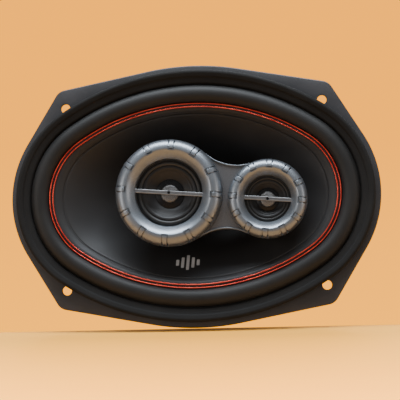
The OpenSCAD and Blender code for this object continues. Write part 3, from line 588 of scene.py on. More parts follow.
def ferrite_finish():
    """Dark ceramic, gritty where it was pressed, with pale chips."""
    f = Finish("ferrite_grey", Metallic=0.2)
    grit, cloud = f.noise(0.5, 5, 0.75), f.noise(12, 4)
    chip = f.spread(f.noise(1.6, 5, 0.7), 0.66, 0.72)
    tone = f.between(cloud, (0.035, 0.035, 0.038), (0.07, 0.07, 0.074))
    f.set(Base_Color=f.blend(chip * 0.5, tone, (0.16, 0.16, 0.16)),
          Roughness=0.55 + 0.2 * (grit - 0.5) - 0.1 * chip)
    f.bump(grit, 0.05)
    return f.material


finishes.update({
    "cone_black": cone_finish(), "trim_red": trim_finish(), "bezel_silver": bezel_finish(),
    "bridge_grey": bridge_finish(), "bar_silver": brushed_finish(), "dot_silver": dot_finish(),
    "spider_cloth": cloth_finish(), "former_film": film_finish(),
    "ferrite_grey": ferrite_finish()})
print("finishes:", len(finishes))


# %% Every CAD node takes its slot's finish
SLOT_OF = {s["node"]: s["material_slot"] for s in frame["record"]["subparts"]}
for node, obj in frame["nodes"].items():
    obj.data.materials.clear()
    obj.data.materials.append(finishes[SLOT_OF[node]])


def finish_as(piece, node, body="frame"):
    """A new piece takes a node's finish and place, and stands for it."""
    if not piece.data.materials:
        piece.data.materials.append(finishes[SLOT_OF[node]])
    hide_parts(node)
    if body:
        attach(piece, body)
    print(piece.name, len(piece.data.polygons), "faces on", body)


def add_trifle(piece, material, body="frame"):
    """A small piece that stands for no node."""
    piece.data.materials.append(material)
    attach(piece, body)


def finish_bending(piece, node, body, weights):
    """A soft ring between the frame and a moving body: each point follows by its weight."""
    finish_as(piece, node, None)
    low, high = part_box(node)
    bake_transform(piece, "frame", body, start=low, end=high)
    attribute = piece.data.attributes["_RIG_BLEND"]
    attribute.data.foreach_set("value", np.asarray(weights, np.float32))


def layout_points(piece):
    """A piece's points back in the layout, in millimetres."""
    co = np.array([v.co for v in piece.data.vertices]) / MM
    return np.column_stack([co[:, 0], co[:, 2], -co[:, 1]])


def smoothstep(x):
    x = np.clip(x, 0, 1)
    return x * x * (3 - 2 * x)


# %% [markdown]
# ## Camera
# The camera comes early, so that everything can be judged from it: a long lens a little to the
# right of the sound axis and below it, because the real speaker leans back on its magnet.

# %% The camera
CAMERA_AT = (76.1, -87.2, 791.6)
YAW, PITCH, ROLL = math.radians(-5.241), math.radians(-6.050), math.radians(1.116)
turn = (Matrix.Rotation(ROLL, 3, "Z") @ Matrix.Rotation(PITCH, 3, "X")
        @ Matrix.Rotation(YAW, 3, "Y"))
layout_to_world = Matrix(((1, 0, 0), (0, 0, -1), (0, 1, 0)))
lens = bpy.data.cameras.new("camera")
lens.lens, lens.sensor_width = 112.97, 36
lens.clip_start, lens.clip_end = 0.05, 20
camera = add_object("camera", lens)
camera.matrix_world = Matrix.Translation(to_world([CAMERA_AT])[0]) @ (
    layout_to_world @ turn.transposed()).to_4x4()
bpy.context.scene.camera = camera
print("camera at", tuple(round(v, 3) for v in camera.matrix_world.translation))


# %% [markdown]
# ## Basket
# A basket is drawn from one steel sheet: flange, wall, bowl, spider ledge and the cup that sits on
# the magnet. So it is one closed skin here too: the rings run in along the front and back out
# along the rear, and the six windows and the screw holes are punched afterwards.
# Each spoke has a pressed bead that stiffens it.

# %% Basket sizes
mount = frame["record"]["mounts"][0]["dims"]
HOLE_X, HOLE_Y, HOLE_R = mount["spacing_x_mm"] / 2, mount["spacing_y_mm"] / 2, mount["hole_r_mm"]
EAR_R, EAR_C = 8.2, (HOLE_X - 0.6, HOLE_Y + 4.2)
FLANGE_R = GASKET_R + 3.6
WALL_OUT, WALL_IN, WALL_DEPTH = 56.8, 55.2, 12.0
BACK_Z = layout_box("top_plate")[1][2]
LEDGE_Z = layout_box("spider")[0][2] + 1.45
LEDGE_R, CUP_IN, CUP_OUT = 47.5, 38.5, 39.9
FLOOR_R, BOWL_STEPS = 18.3, 16
WINDOWS, WINDOW_HALF, WINDOW_FILLET = 6, 17, 2.6
CORNERS = [(sx, sy) for sx in (-1, 1) for sy in (-1, 1)]


def flange_ring(inset, z):
    """The flange's outline with its four ears, as the hull of the oval and four round corners."""
    out = unit_ring()
    best = oval_ring(FLANGE_R - inset)
    reach = (best * out).sum(1)
    for corner in CORNERS:
        ear = np.array(corner) * EAR_C + (EAR_R - inset) * out
        far = (ear * out).sum(1)
        best = np.where((far > reach)[:, None], ear, best)
        reach = np.maximum(reach, far)
    return at_height(best, z)


def bowl_ring(t, back):
    """A ring of the bowl at share t of its fall, with a bead along the middle of each spoke."""
    z = mix(-WALL_DEPTH + 0.6, LEDGE_Z - SHEET + 0.2, t) + (0 if back else SHEET)
    ring = section(WALL_OUT - SHEET / 2, LEDGE_R - 0.5, t ** 1.35, z)
    polar = np.degrees(np.arctan2(ring[:, 1], ring[:, 0]))
    off = (polar + 30) % 60 - 30
    bead = 1.3 * np.exp(-(off / 4.5) ** 2) * smoothstep(4 * t * (1 - t) * 1.6)
    ring[:, :2] *= (1 + bead / np.hypot(ring[:, 0], ring[:, 1]))[:, None]
    return ring


# %% The basket's skin
def basket_rings():
    """In along the front, out along the back, then round the flange's edge."""
    shares = np.linspace(0, 1, BOWL_STEPS + 1)
    front = [oval_at(WALL_IN + out, z) for out, z in (
        (1.1, SHEET), (0.35, SHEET - 0.3), (0, SHEET - 1.1), (0, -WALL_DEPTH + 3))]
    front += [bowl_ring(t, False) for t in shares]
    front += [round_at(r, z) for r, z in (
        (LEDGE_R - 1.2, LEDGE_Z), (CUP_IN + 0.7, LEDGE_Z), (CUP_IN + 0.2, LEDGE_Z - 0.2),
        (CUP_IN, LEDGE_Z - 0.7), (CUP_IN, BACK_Z + SHEET + 0.5), (CUP_IN - 0.5, BACK_Z + SHEET),
        (FLOOR_R + 0.5, BACK_Z + SHEET), (FLOOR_R, BACK_Z + 1.2))]
    rear = [round_at(r, z) for r, z in (
        (FLOOR_R, BACK_Z), (CUP_OUT - 1.2, BACK_Z), (CUP_OUT - 0.3, BACK_Z + 0.3),
        (CUP_OUT, BACK_Z + 1.2), (CUP_OUT, LEDGE_Z - SHEET - 0.7),
        (CUP_OUT + 0.2, LEDGE_Z - SHEET - 0.2), (CUP_OUT + 0.7, LEDGE_Z - SHEET))]
    rear += [bowl_ring(t, True) for t in shares[::-1]]
    rear += [oval_at(WALL_OUT + out, z) for out, z in (
        (0, -WALL_DEPTH + 2.5), (0, -1.0), (0.3, -0.3), (1.0, 0))]
    return front + rear + [flange_ring(inset, z) for inset, z in (
        (0.3, 0), (0.05, 0.1), (0, 0.35), (0, 0.8), (0.12, 1.15), (0.4, 1.45), (0.85, SHEET))]


def window_cutter(middle, low, high):
    """A wedge that widens outwards, with round corners, through the bowl."""
    rings = []
    a = math.radians(middle)
    for r in (24.0, 170.0):
        wide = r * math.tan(math.radians(WINDOW_HALF))
        face = rounded([(x, y, WINDOW_FILLET) for x, y in (
            (-wide, low), (wide, low), (wide, high), (-wide, high))], 5)
        rings.append(np.column_stack([r * math.cos(a) - face[:, 0] * math.sin(a),
                                      r * math.sin(a) + face[:, 0] * math.cos(a), face[:, 1]]))
    return from_rings("cutter", rings, closed=False)


def punch(x, y, r, low, high, flare=0.25):
    """A round punch whose mouth is rolled at the front."""
    return lathe("cutter", [
        (0, low), (r, low), (r, high - flare - 0.25), (r + flare * 0.3, high - flare),
        (r + flare, high), (r + flare + 1, high + 1), (0, high + 1)], (x, y), 48)


basket = from_rings("basket", basket_rings(), 32)
cutters = [window_cutter((i + 0.5) * 360 / WINDOWS, LEDGE_Z + 0.4, -WALL_DEPTH - 4)
           for i in range(WINDOWS)]
cutters += [punch(sx * HOLE_X, sy * HOLE_Y, HOLE_R, -1, SHEET) for sx, sy in CORNERS]
cut(basket, cutters, sharp=32)
PAD_HALF, PAD_Y, PAD_Z = 13, -49.0, LEDGE_Z - SHEET
pad = [block("pad", (-PAD_HALF, PAD_Y - 1.4, PAD_Z), (PAD_HALF, PAD_Y, PAD_Z + 15), 0.5),
       block("pad_foot", (-PAD_HALF, PAD_Y - 0.6, PAD_Z),
             (PAD_HALF, -CUP_OUT - 0.5, LEDGE_Z - 0.05), 0.3)]
cut(basket, pad, "UNION", 32)
finish_as(basket, "basket_frame")


# %% [markdown]
# ## Gasket and surround
# The gasket is moulded rubber glued over the surround's lip: a rounded outer edge, a long slope
# down to the roll and a shallow step half way. The surround is one half roll. It joins the frame
# to the cone, so each of its points follows the cone by how far in it lies.

# %% Gasket
GASKET_IN, LIP_TOP = 56.3, SHEET + 0.8
g = GASKET_R
gasket = sweep_oval("gasket", rounded([
    (GASKET_IN, LIP_TOP, 0.2), (g - 2.4, LIP_TOP, 0), (g - 2.4, SHEET, 0), (g, SHEET, 0.3),
    (g, GASKET_Z - 1.0, 1.6), (g - 1.6, GASKET_Z, 0.9), (g - 4.3, GASKET_Z - 0.9, 0.8),
    (g - 4.9, GASKET_Z - 1.6, 0.6), (GASKET_IN + 0.8, LIP_TOP + 2.2, 0.8),
    (GASKET_IN, LIP_TOP + 1.2, 0.4)], 5), 50)
finish_as(gasket, "gasket_ring")

# %% Surround
ROLL_IN, ROLL_OUT, ROLL_T, GLUE_IN = 44.4, 56.0, 0.8, 40.8
ROLL_MID, ROLL_H = (ROLL_IN + ROLL_OUT) / 2, (ROLL_OUT - ROLL_IN) / 2
under = arc(ROLL_MID, SHEET, ROLL_H - ROLL_T, 180, 0, 24)
over = arc(ROLL_MID, SHEET, ROLL_H, 8, 172, 24)
lip_out = g - 2.8
surround = sweep_oval("surround_roll", np.vstack([
    [(GLUE_IN, SHEET)], under, [(lip_out, SHEET), (lip_out, LIP_TOP)], over,
    [(GLUE_IN, LIP_TOP)]]), 60)
points = layout_points(surround)
polar_r = np.hypot(np.maximum(np.abs(points[:, 0]) - END_C, 0), points[:, 1])
side = np.abs(points[:, 0]) / np.maximum(np.abs(points[:, 1]) + SIDE_C, 1)
on_side = side < END_C / SIDE_C
end_r = np.where(on_side, np.hypot(points[:, 0], np.abs(points[:, 1]) + SIDE_C) - LINK, polar_r)
finish_bending(surround, "surround", WOOFER, smoothstep((ROLL_OUT - end_r) / (ROLL_OUT - ROLL_IN)))


# %% [markdown]
# ## Cone, trim ring and emblem
# The cone is one thin shell lofted from the oval edge to the round neck, with a fine groove pressed
# round it a little inside the trim. The trim ring is two bright lines and a channel painted dark
# as shade between them. Speakers carry a small badge on the cone: here it is five plain level bars.

# %% Cone
EDGE_R, BOWL_R, CONE_T = ROLL_IN - 0.2, 40.4, 0.7
LIP_Z = LIP_TOP + 0.05 + CONE_T
NECK_R, CONE_DEPTH, BOW = 15.45, 37.0, 0.2
NECK_Z = LIP_Z - CONE_DEPTH
CONE_STEPS, GROOVE_AT, GROOVE_W, GROOVE_D = 40, 0.065, 0.011, 0.5


def cone_z(t):
    return LIP_Z - (CONE_DEPTH - CONE_T) * ((1 + BOW) * t - BOW * t * t)


shares = np.sort(np.append(np.linspace(0, 1, CONE_STEPS + 1),
                           GROOVE_AT + GROOVE_W * np.linspace(-1.2, 1.2, 7)))
front = [section(BOWL_R, NECK_R, t,
                 cone_z(t) - GROOVE_D * math.exp(-((t - GROOVE_AT) / GROOVE_W * 1.6) ** 2))
         for t in shares]
back = [section(BOWL_R, NECK_R, t, cone_z(t) - CONE_T)
        for t in np.linspace(1, 0, CONE_STEPS + 1)[1:]]
neck = [section(0, r, 1, z) for r, z in
        [(NECK_R, NECK_Z - 3.2), (NECK_R + 0.6, NECK_Z - 3.2), (NECK_R + 0.6, NECK_Z - 1.0)]]
lip = [oval_at(EDGE_R, LIP_Z - CONE_T + 0.1), oval_at(EDGE_R, LIP_Z - 0.1),
       oval_at(EDGE_R - 0.15, LIP_Z)]
lip_back = oval_at(EDGE_R - 0.15, LIP_Z - CONE_T)
cone = from_rings("cone", lip + front + neck + back + [lip_back], 50)
finish_as(cone, "woofer_cone", WOOFER)

# %% Trim ring
TRIM_IN, TRIM_OUT, TRIM_H, LINE = EDGE_R - 2.8, EDGE_R, 1.0, 0.75
trim = sweep_oval("trim_ring_lines", rounded([(r, LIP_Z + up, fillet) for r, up, fillet in (
    (TRIM_IN, 0, 0), (TRIM_OUT, 0, 0), (TRIM_OUT, TRIM_H, 0.4), (TRIM_OUT - LINE, TRIM_H, 0.35),
    (TRIM_OUT - LINE, 0.3, 0.15), (TRIM_IN + LINE, 0.3, 0.15), (TRIM_IN + LINE, TRIM_H, 0.35),
    (TRIM_IN, TRIM_H, 0.4))], 5), 70)
finish_as(trim, "trim_ring", WOOFER)

# %% Badge of five level bars
BADGE_X, BADGE_Y, BADGE_T = -6.0, -42.0, 0.25
BAR_W, BAR_PITCH, BAR_HEIGHTS = 1.9, 3.3, (4, 7, 10, 7, 4)
cone_tree = BVHTree.FromPolygons([v.co for v in cone.data.vertices],
                                 [p.vertices for p in cone.data.polygons])


def on_cone(x, y):
    """Height of the cone's front under a point."""
    hit = cone_tree.ray_cast(Vector(to_world([(x, y, 60)])[0]), Vector((0, 1, 0)))[0]
    return -hit.y / MM


def badge_bar(x, tall):
    face = rounded([(x + sx * BAR_W / 2, BADGE_Y + sy * tall / 2, 0.5)
                    for sx, sy in ((-1, -1), (1, -1), (1, 1), (-1, 1))], 3)
    return from_rings("bar", [[(*p, on_cone(*p) + up) for p in face] for up in (-0.1, BADGE_T)],
                      closed=False)


badge = join("badge", [badge_bar(BADGE_X + (i - 2) * BAR_PITCH, tall)
                       for i, tall in enumerate(BAR_HEIGHTS)])
badge_paint = moulded("badge_paint", (0.5, 0.5, 0.51), 0.35, 0.2, 0.003, 0.25, {"Metallic": 0.2})
add_trifle(badge, badge_paint, WOOFER)


# %% [markdown]
# ## What repeats around a circle
# Clips on a bezel and rivets in the basket are one shape set round an axis. One Geometry Nodes
# tree does them all: it puts points at the axis, turns an instance for each, can punch a second
# shape out of a body first, and ends in real mesh with its material set.

# %% The circle tree
def circle_tree():
    tree = bpy.data.node_groups.new("round_the_axis", "GeometryNodeTree")
    ins = {}
    for label, kind in (("Body", "NodeSocketGeometry"), ("Shape", "NodeSocketObject"),
                        ("Punch", "NodeSocketObject"), ("Count", "NodeSocketInt"),
                        ("Axis", "NodeSocketVector"), ("Start", "NodeSocketFloat"),
                        ("Punched", "NodeSocketBool"), ("Material", "NodeSocketMaterial")):
        ins[label] = tree.interface.new_socket(name=label, in_out="INPUT", socket_type=kind)
    tree.interface.new_socket(name="Result", in_out="OUTPUT", socket_type="NodeSocketGeometry")

    def node(kind, settings=None, inputs=None):
        made = tree.nodes.new(kind)
        for key, value in (settings or {}).items():
            setattr(made, key, value)
        for key, value in (inputs or {}).items():
            if isinstance(value, bpy.types.NodeSocket):
                tree.links.new(value, made.inputs[key])
            else:
                made.inputs[key].default_value = value
        return made

    given = node("NodeGroupInput")
    points = node("GeometryNodePoints", {}, {"Count": given.outputs["Count"],
                                             "Position": given.outputs["Axis"]})
    index = node("GeometryNodeInputIndex")
    step = node("ShaderNodeMath", {"operation": "DIVIDE"}, {0: 2 * math.pi,
                                                            1: given.outputs["Count"]})
    angle = node("ShaderNodeMath", {"operation": "MULTIPLY_ADD"},
                 {0: index.outputs[0], 1: step.outputs[0], 2: given.outputs["Start"]})
    back = node("ShaderNodeMath", {"operation": "MULTIPLY"}, {0: angle.outputs[0], 1: -1.0})
    turn_by = node("ShaderNodeCombineXYZ", {}, {1: back.outputs[0]})

    def copies(label):
        info = node("GeometryNodeObjectInfo", {"transform_space": "ORIGINAL"},
                    {0: given.outputs[label], 1: True})
        on = node("GeometryNodeInstanceOnPoints", {}, {
            "Points": points.outputs[0], "Instance": info.outputs["Geometry"],
            "Rotation": turn_by.outputs[0]})
        return node("GeometryNodeRealizeInstances", {}, {0: on.outputs[0]}).outputs[0]

    punched = node("GeometryNodeMeshBoolean", {"operation": "DIFFERENCE", "solver": "EXACT"},
                   {0: given.outputs["Body"], 1: copies("Punch")})
    body = node("GeometryNodeSwitch", {"input_type": "GEOMETRY"}, {
        "Switch": given.outputs["Punched"], "False": given.outputs["Body"],
        "True": punched.outputs["Mesh"]})
    both = node("GeometryNodeJoinGeometry")
    tree.links.new(body.outputs[0], both.inputs[0])
    tree.links.new(copies("Shape"), both.inputs[0])
    real = node("GeometryNodeRealizeInstances", {}, {0: both.outputs[0]})
    done = node("GeometryNodeSetMaterial", {}, {"Geometry": real.outputs[0],
                                                "Material": given.outputs["Material"]})
    result = node("NodeGroupOutput")
    tree.links.new(done.outputs[0], result.inputs[0])
    return tree, {label: socket.identifier for label, socket in ins.items()}


CIRCLE, CIRCLE_INPUT = circle_tree()


def around(name, shape, count, centre, start, material, body=None, punch_shape=None, sharp=35):
    """count copies of a shape (drawn about the layout's own axis) round the axis at centre."""
    host = body or add_object(name, bpy.data.meshes.new(name))
    mod = host.modifiers.new("round_the_axis", "NODES")
    mod.node_group = CIRCLE
    axis = to_world([(centre[0], centre[1], 0)])[0]
    for label, value in (("Shape", shape), ("Punch", punch_shape or shape), ("Count", count),
                         ("Axis", [float(v) for v in axis]), ("Start", math.radians(start)),
                         ("Punched", punch_shape is not None), ("Material", material)):
        mod[CIRCLE_INPUT[label]] = value
    bpy.context.view_layer.update()
    graph = bpy.context.evaluated_depsgraph_get()
    mesh = bpy.data.meshes.new_from_object(host.evaluated_get(graph))
    mesh.name = name
    made = add_object(name, mesh)
    for used in {shape, punch_shape, host} - {None}:
        bpy.data.objects.remove(used)
    made.name = name
    print(name, count, "times", len(mesh.polygons), "faces")
    return tidy_mesh(made, sharp)


# %% [markdown]
# ## Bezels and their clips
# A bezel is turned: a skirt, a fat rounded shoulder and a funnel down to the opening. Twelve
# straps lie over the shoulder, each in its own slot, which shows as a fine dark line round it.

# %% Bezels
RIM_Z, SHOULDER_Z, BEZEL_T, FUNNEL_DROP, SMALL_LIP_Z = 4.0, 8.0, 1.7, 5.2, 5.35
CLIPS, CLIP_W, CLIP_FROM, CLIP_TO, CLIP_RISE, SLOT_W, SLOT_D = 12, 2.8, 5, 92, 0.15, 0.75, 1.1
MID_OPEN, TWT_OPEN = 21.4, 14.7


def strap(ring_r, tube_r, start, end, inner, outer, wide, name, fillet=0.25):
    """A strap over the shoulder between two angles, its long edges rounded."""
    crest, out = ring_r - tube_r, []
    for a in np.radians(np.linspace(start, end, 17)):
        near = min(abs(math.degrees(a) - start), abs(end - math.degrees(a)))
        rise = mix(inner + 0.1, outer, min(1, (near / 6) ** 0.5)) if fillet else outer
        half = wide / 2 if not fillet else wide / 2 * mix(0.8, 1, min(1, (near / 5) ** 0.5))
        cross = rounded([(-half, inner, 0), (half, inner, 0), (half, rise, fillet),
                         (-half, rise, fillet)], 4) if fillet else np.array(
            [(-half, inner), (half, inner), (half, rise), (-half, rise)])
        out.append(np.column_stack([crest + cross[:, 1] * math.cos(a), cross[:, 0],
                                    SHOULDER_Z + cross[:, 1] * math.sin(a)]))
    return from_rings(name, out, 40, closed=False)


def bezel(name, node, centre, ring_r, tube_r, open_r):
    """A skirt, a shoulder and a funnel turned as one, then the clips in their slots."""
    crest, top = ring_r - tube_r, SHOULDER_Z + tube_r
    funnel = [(mix(crest, open_r, t),
               top - FUNNEL_DROP * mix(t, 1 - math.cos(t * math.pi / 2), 0.6))
              for t in np.linspace(0, 1, 17)[1:]]
    end_z, seat = funnel[-1][1], open_r + 1.4
    profile = np.vstack([
        [(ring_r - BEZEL_T, RIM_Z), (ring_r - 0.2, RIM_Z), (ring_r, RIM_Z + 0.2)],
        arc(crest, SHOULDER_Z, tube_r, 0, 90, 24), funnel[:-1],
        [(open_r + 0.12, end_z + 0.06), (open_r, end_z - 0.25), (open_r, SMALL_LIP_Z),
         (seat, SMALL_LIP_Z), (seat, top - FUNNEL_DROP - BEZEL_T), (crest, top - BEZEL_T)],
        arc(crest, SHOULDER_Z, tube_r - BEZEL_T, 70, 0, 8)])
    body = lathe(name + "_body", profile, centre, 288, 40)
    slot_shape = strap(ring_r, tube_r, CLIP_FROM - 2, CLIP_TO + 6, tube_r - SLOT_D, tube_r + 1.5,
                       CLIP_W + 2 * SLOT_W, "slot", 0)
    clip = strap(ring_r, tube_r, CLIP_FROM, CLIP_TO, tube_r - SLOT_D - 0.3, tube_r + CLIP_RISE,
                 CLIP_W, "clip")
    finish_as(around(name, clip, CLIPS, centre, math.degrees(POD_TILT), finishes["bezel_silver"],
                     body, slot_shape, 40), node)


bezel("midrange_ring", "midrange_bezel", MID_C, MID_RING, 6.6, MID_OPEN)
bezel("tweeter_ring", "tweeter_bezel", TWT_C, TWT_RING, 5.4, TWT_OPEN)


# %% [markdown]
# ## Bridge plate
# The plate between the bezels has two hollow sides and a thin bright rim along each. Its outline
# is four arcs: round each bezel and along each side.

# %% Bridge plate
PLATE_Z, PLATE_TOP, RIM_H, RIM_W = RIM_Z, RIM_Z + 2.0, 0.9, 0.9
WAIST_X, WAIST_HALF, WAIST_R, PLATE_HALF = 40.0, 20.3, 30.0, 26.52
WAIST_Y = WAIST_HALF + WAIST_R
POD_MID_X = -15.5
SPAN = float(np.hypot(*(TWT_C - MID_C)[:2]))


def plate_rows(low_y, high_y, left_of, right_of, steps):
    """A solid between two curves, built from rows across the pod's axis."""
    rows = []
    for y in np.linspace(low_y, high_y, steps + 1):
        x0, x1 = left_of(y), right_of(y)
        rows.append(in_pod([(x0, y, PLATE_Z), (x1, y, PLATE_Z), (x1, y, PLATE_TOP),
                            (x0, y, PLATE_TOP)], POD_MID_X))
    return from_rings("plate", rows, 30, closed=False)


def by_midrange(y):
    return math.sqrt((MID_RING + 0.05) ** 2 - y * y)


def by_tweeter(y):
    return SPAN - math.sqrt((TWT_RING + 0.06) ** 2 - y * y)


def by_waist(y, side):
    return WAIST_X + side * math.sqrt(max(WAIST_R ** 2 - (WAIST_Y - abs(y)) ** 2, 0))


away = np.array([WAIST_X - SPAN, WAIST_Y])
touch = np.array([SPAN, 0]) + away / np.linalg.norm(away) * (TWT_RING + 0.06)
tip = (by_waist(PLATE_HALF, -1), PLATE_HALF)
plates = [plate_rows(-WAIST_HALF, WAIST_HALF, by_midrange, by_tweeter, 40)]
for flip in (1, -1):
    plates.append(plate_rows(flip * WAIST_HALF, flip * PLATE_HALF, by_midrange,
                             lambda y: by_waist(y, -1), 16))
    plates.append(plate_rows(flip * WAIST_HALF, flip * (touch[1] - 0.05), lambda y: by_waist(y, 1),
                             by_tweeter, 12))
first, last = [math.degrees(math.atan2(p[1] - WAIST_HALF - WAIST_R, p[0] - WAIST_X))
               for p in (touch, tip)]
side_line = arc(WAIST_X, WAIST_Y, WAIST_R, first, last, 28)
rims = []
for flip in (1, -1):
    line = side_line * (1, flip)
    out = line - np.array([WAIST_X, flip * WAIST_Y])
    out /= np.linalg.norm(out, axis=1)[:, None]
    cross = rounded([(0.02, PLATE_Z + 0.3, 0), (RIM_W, PLATE_Z + 0.3, 0),
                     (RIM_W, PLATE_TOP + RIM_H, 0.3), (0.02, PLATE_TOP + RIM_H, 0.3)], 4)
    rings = []
    for i, (p, d) in enumerate(zip(line, out)):
        thin = min(1.0, (len(line) + 0.5 - i) / 5, (i + 1.5) / 4)
        flat = p + np.outer(cross[:, 0] * thin, d)
        rings.append(in_pod(np.column_stack([flat, cross[:, 1]]), POD_MID_X))
    rims.append(from_rings("rim", rings, 40, closed=False))
finish_as(join("bridge", plates), "bridge_plate")
add_trifle(join("bridge_rim", rims), finishes["bezel_silver"])


# %% [markdown]
# ## Bars, small cones, caps and dots
# Each small driver sits under its bezel: a frame, a rolled surround, a cone, a glossy cap and a
# stippled dot. A thin bar crosses the opening with a fine line along it and a hole in its middle.

# %% Bars
BAR_T, BAR_WIDE, BAR_HOLE = 1.2, 2.6, 0.9


def cross_bar(name, node, x, open_r):
    """A bar with a fine line along it, and a dark disc low in its hole as painted shade."""
    top = layout_box(node)[1][2]
    low, w = top - BAR_T, BAR_WIDE / 2
    cross = rounded([(-w, low, 0.2), (w, low, 0.2), (w, top, 0.35), (0.2, top, 0),
                     (0, top - 0.25, 0), (-0.2, top, 0), (-w, top, 0.35)], 4)
    reach = np.sqrt((open_r - 0.03) ** 2 - cross[:, 0] ** 2)
    piece = from_rings(name, [in_pod(np.column_stack([along * reach, cross]), x)
                              for along in (-1, 1)], 30, closed=False)
    middle = in_pod([(0, 0, 0)], x)[0][:2]
    cut(piece, [punch(*middle, BAR_HOLE, low - 1, top, 0.15)], sharp=30)
    finish_as(piece, node)
    # painted shade: a black disc low in the hole stands for the shade inside it
    shade_disc = lathe(name + "_pin", [(BAR_HOLE, low + 0.1), (BAR_HOLE, top - 0.35), (0, top - 0.45),
                                (0, low + 0.1)], middle, 32)
    add_trifle(shade_disc, finishes["cap_black"])


cross_bar("midrange_bar_shaped", "midrange_bar", POD_MID_X, MID_OPEN)
cross_bar("tweeter_bar_shaped", "tweeter_bar", POD_MID_X + SPAN, TWT_OPEN)

# %% The two small drivers
FRAME_Z, ROLL_THIN, SMALL_CONE_T, DOME_H = 5.0, 0.3, 0.5, 1.8
SMALL_TOP = FRAME_Z + ROLL_THIN + 0.05 + SMALL_CONE_T


def small_driver(prefix, body, centre, seat_r, open_r, cone_r, coil_r, gap_z, cap_r, dot_r):
    """Cone, cap, dot and roll, all turned about the driver's own axis."""
    lip, neck, low = cone_r - 1.4, coil_r + 0.05, gap_z + 2.6

    def height(r):
        t = (lip - r) / (lip - neck)
        return SMALL_TOP - (SMALL_TOP - low) * (1.25 * t - 0.25 * t * t)

    steps = np.linspace(0, 1, 25)
    radii = mix(lip, neck, steps)
    groove = 0.18 * np.exp(-((steps - 0.2) / 0.025) ** 2)
    front = [(r, height(r) - d) for r, d in zip(radii, groove)]
    profile = [(cone_r - 0.15, SMALL_TOP), (cone_r - 0.3, SMALL_TOP)] + front + [
        (neck, low - 1), (neck + 0.5, low - 1)] + [
        (r, height(r) - SMALL_CONE_T) for r in radii[::-1][1:]] + [
        (cone_r, SMALL_TOP - SMALL_CONE_T), (cone_r, SMALL_TOP - 0.15)]
    finish_as(lathe(prefix + "_cone_shaped", profile, centre, 144, 50), prefix + "_cone", body)

    base = height(cap_r) + 0.45
    k = np.linspace(0, 1, 17)
    dome = np.column_stack([cap_r * (1 - k), base + DOME_H * np.sin(k * np.pi / 2)])
    inner = np.column_stack([np.maximum(dome[:, 0] - 0.4, 0), dome[:, 1] - 0.38])[::-1]
    cap = lathe(prefix + "_cap_shaped", np.vstack([dome, inner]), centre, 144, 60)
    finish_as(cap, prefix + "_cap", body)

    r = dot_r * np.linspace(1, 0, 13)
    seat = base + 0.05 + DOME_H * np.sin((1 - r / cap_r) * np.pi / 2)
    edge = 0.5 * np.clip((dot_r - r) / 0.35, 0, 1) ** 0.5
    dot = lathe(prefix + "_dot_shaped", np.vstack([
        np.column_stack([r, seat + np.maximum(edge, 0.05)]), np.column_stack([r, seat])[::-1]]),
        centre, 144, 60)
    finish_as(dot, prefix + "_dot", body)

    mid, h = (cone_r + open_r) / 2 - 0.3, (open_r - cone_r) / 2 - 0.5
    z = FRAME_Z + 0.05
    roll = np.vstack([[(cone_r - 1.2, z), (mid - h + ROLL_THIN, z)],
                      arc(mid, z, h - ROLL_THIN, 180, 0, 14),
                      [(seat_r - 0.6, z), (seat_r - 0.6, z + ROLL_THIN - 0.05)],
                      arc(mid, z, h, 12, 168, 14), [(cone_r - 1.2, z + ROLL_THIN - 0.05)]])
    piece = lathe(prefix + "_roll", roll, centre, 144, 60)
    p = layout_points(piece)
    away = np.hypot(p[:, 0] - centre[0], p[:, 1] - centre[1])
    finish_bending(piece, prefix + "_surround", body, smoothstep((mid + h - away) / (2 * h)))


small_driver("midrange", MIDRANGE, MID_C, seat_r=23.6, open_r=MID_OPEN, cone_r=17.4, coil_r=7.7,
             gap_z=-1.6, cap_r=9.2, dot_r=5.75)
small_driver("tweeter", TWEETER, TWT_C, seat_r=16.8, open_r=TWT_OPEN, cone_r=12.0, coil_r=5.9,
             gap_z=-0.2, cap_r=7.2, dot_r=4.95)


# %% [markdown]
# ## Spider, coil and magnet
# Behind the cone: a corrugated cloth spider, the coil on its amber former, and the magnet between
# two zinc-plated plates under a rubber boot. These are turned pieces with broken edges.

# %% Spider and coil
SPIDER_T, WAVES, WAVE_H, WAVE_IN, WAVE_OUT, SPIDER_R = 0.5, 5, 1.5, 17.65, 38.2, 44.0
spider_z = LEDGE_Z + 0.05
k = np.linspace(0, 1, WAVES * 16 + 1)
wave = np.column_stack([mix(WAVE_IN, WAVE_OUT, k),
                        spider_z + WAVE_H * np.sin(2 * np.pi * WAVES * k)])
profile = np.vstack([
    [(NECK_R + 0.05, spider_z)], wave,
    [(SPIDER_R - 0.1, spider_z), (SPIDER_R, spider_z + SPIDER_T)],
    (wave + (0, SPIDER_T))[::-1], [(NECK_R + 0.05, spider_z + SPIDER_T)]])
spider = lathe("spider_cloth_piece", profile, steps=160, sharp=60)
p = layout_points(spider)
away = np.hypot(p[:, 0], p[:, 1])
finish_bending(spider, "spider", WOOFER, smoothstep((WAVE_OUT - away) / (WAVE_OUT - WAVE_IN)))


def turned(name, node, corners, body="frame"):
    """A turned piece from corners (radius, height, fillet)."""
    finish_as(lathe(name, rounded(corners, 3), steps=144, sharp=40), node, body)


def washer(name, node, inner, outer, back, front, fillets, body="frame"):
    """A turned ring, its fillets named from the inner back corner outwards and round."""
    corners = ((inner, back), (outer, back), (outer, front), (inner, front))
    turned(name, node, [(r, z, fillet) for (r, z), fillet in zip(corners, fillets)], body)


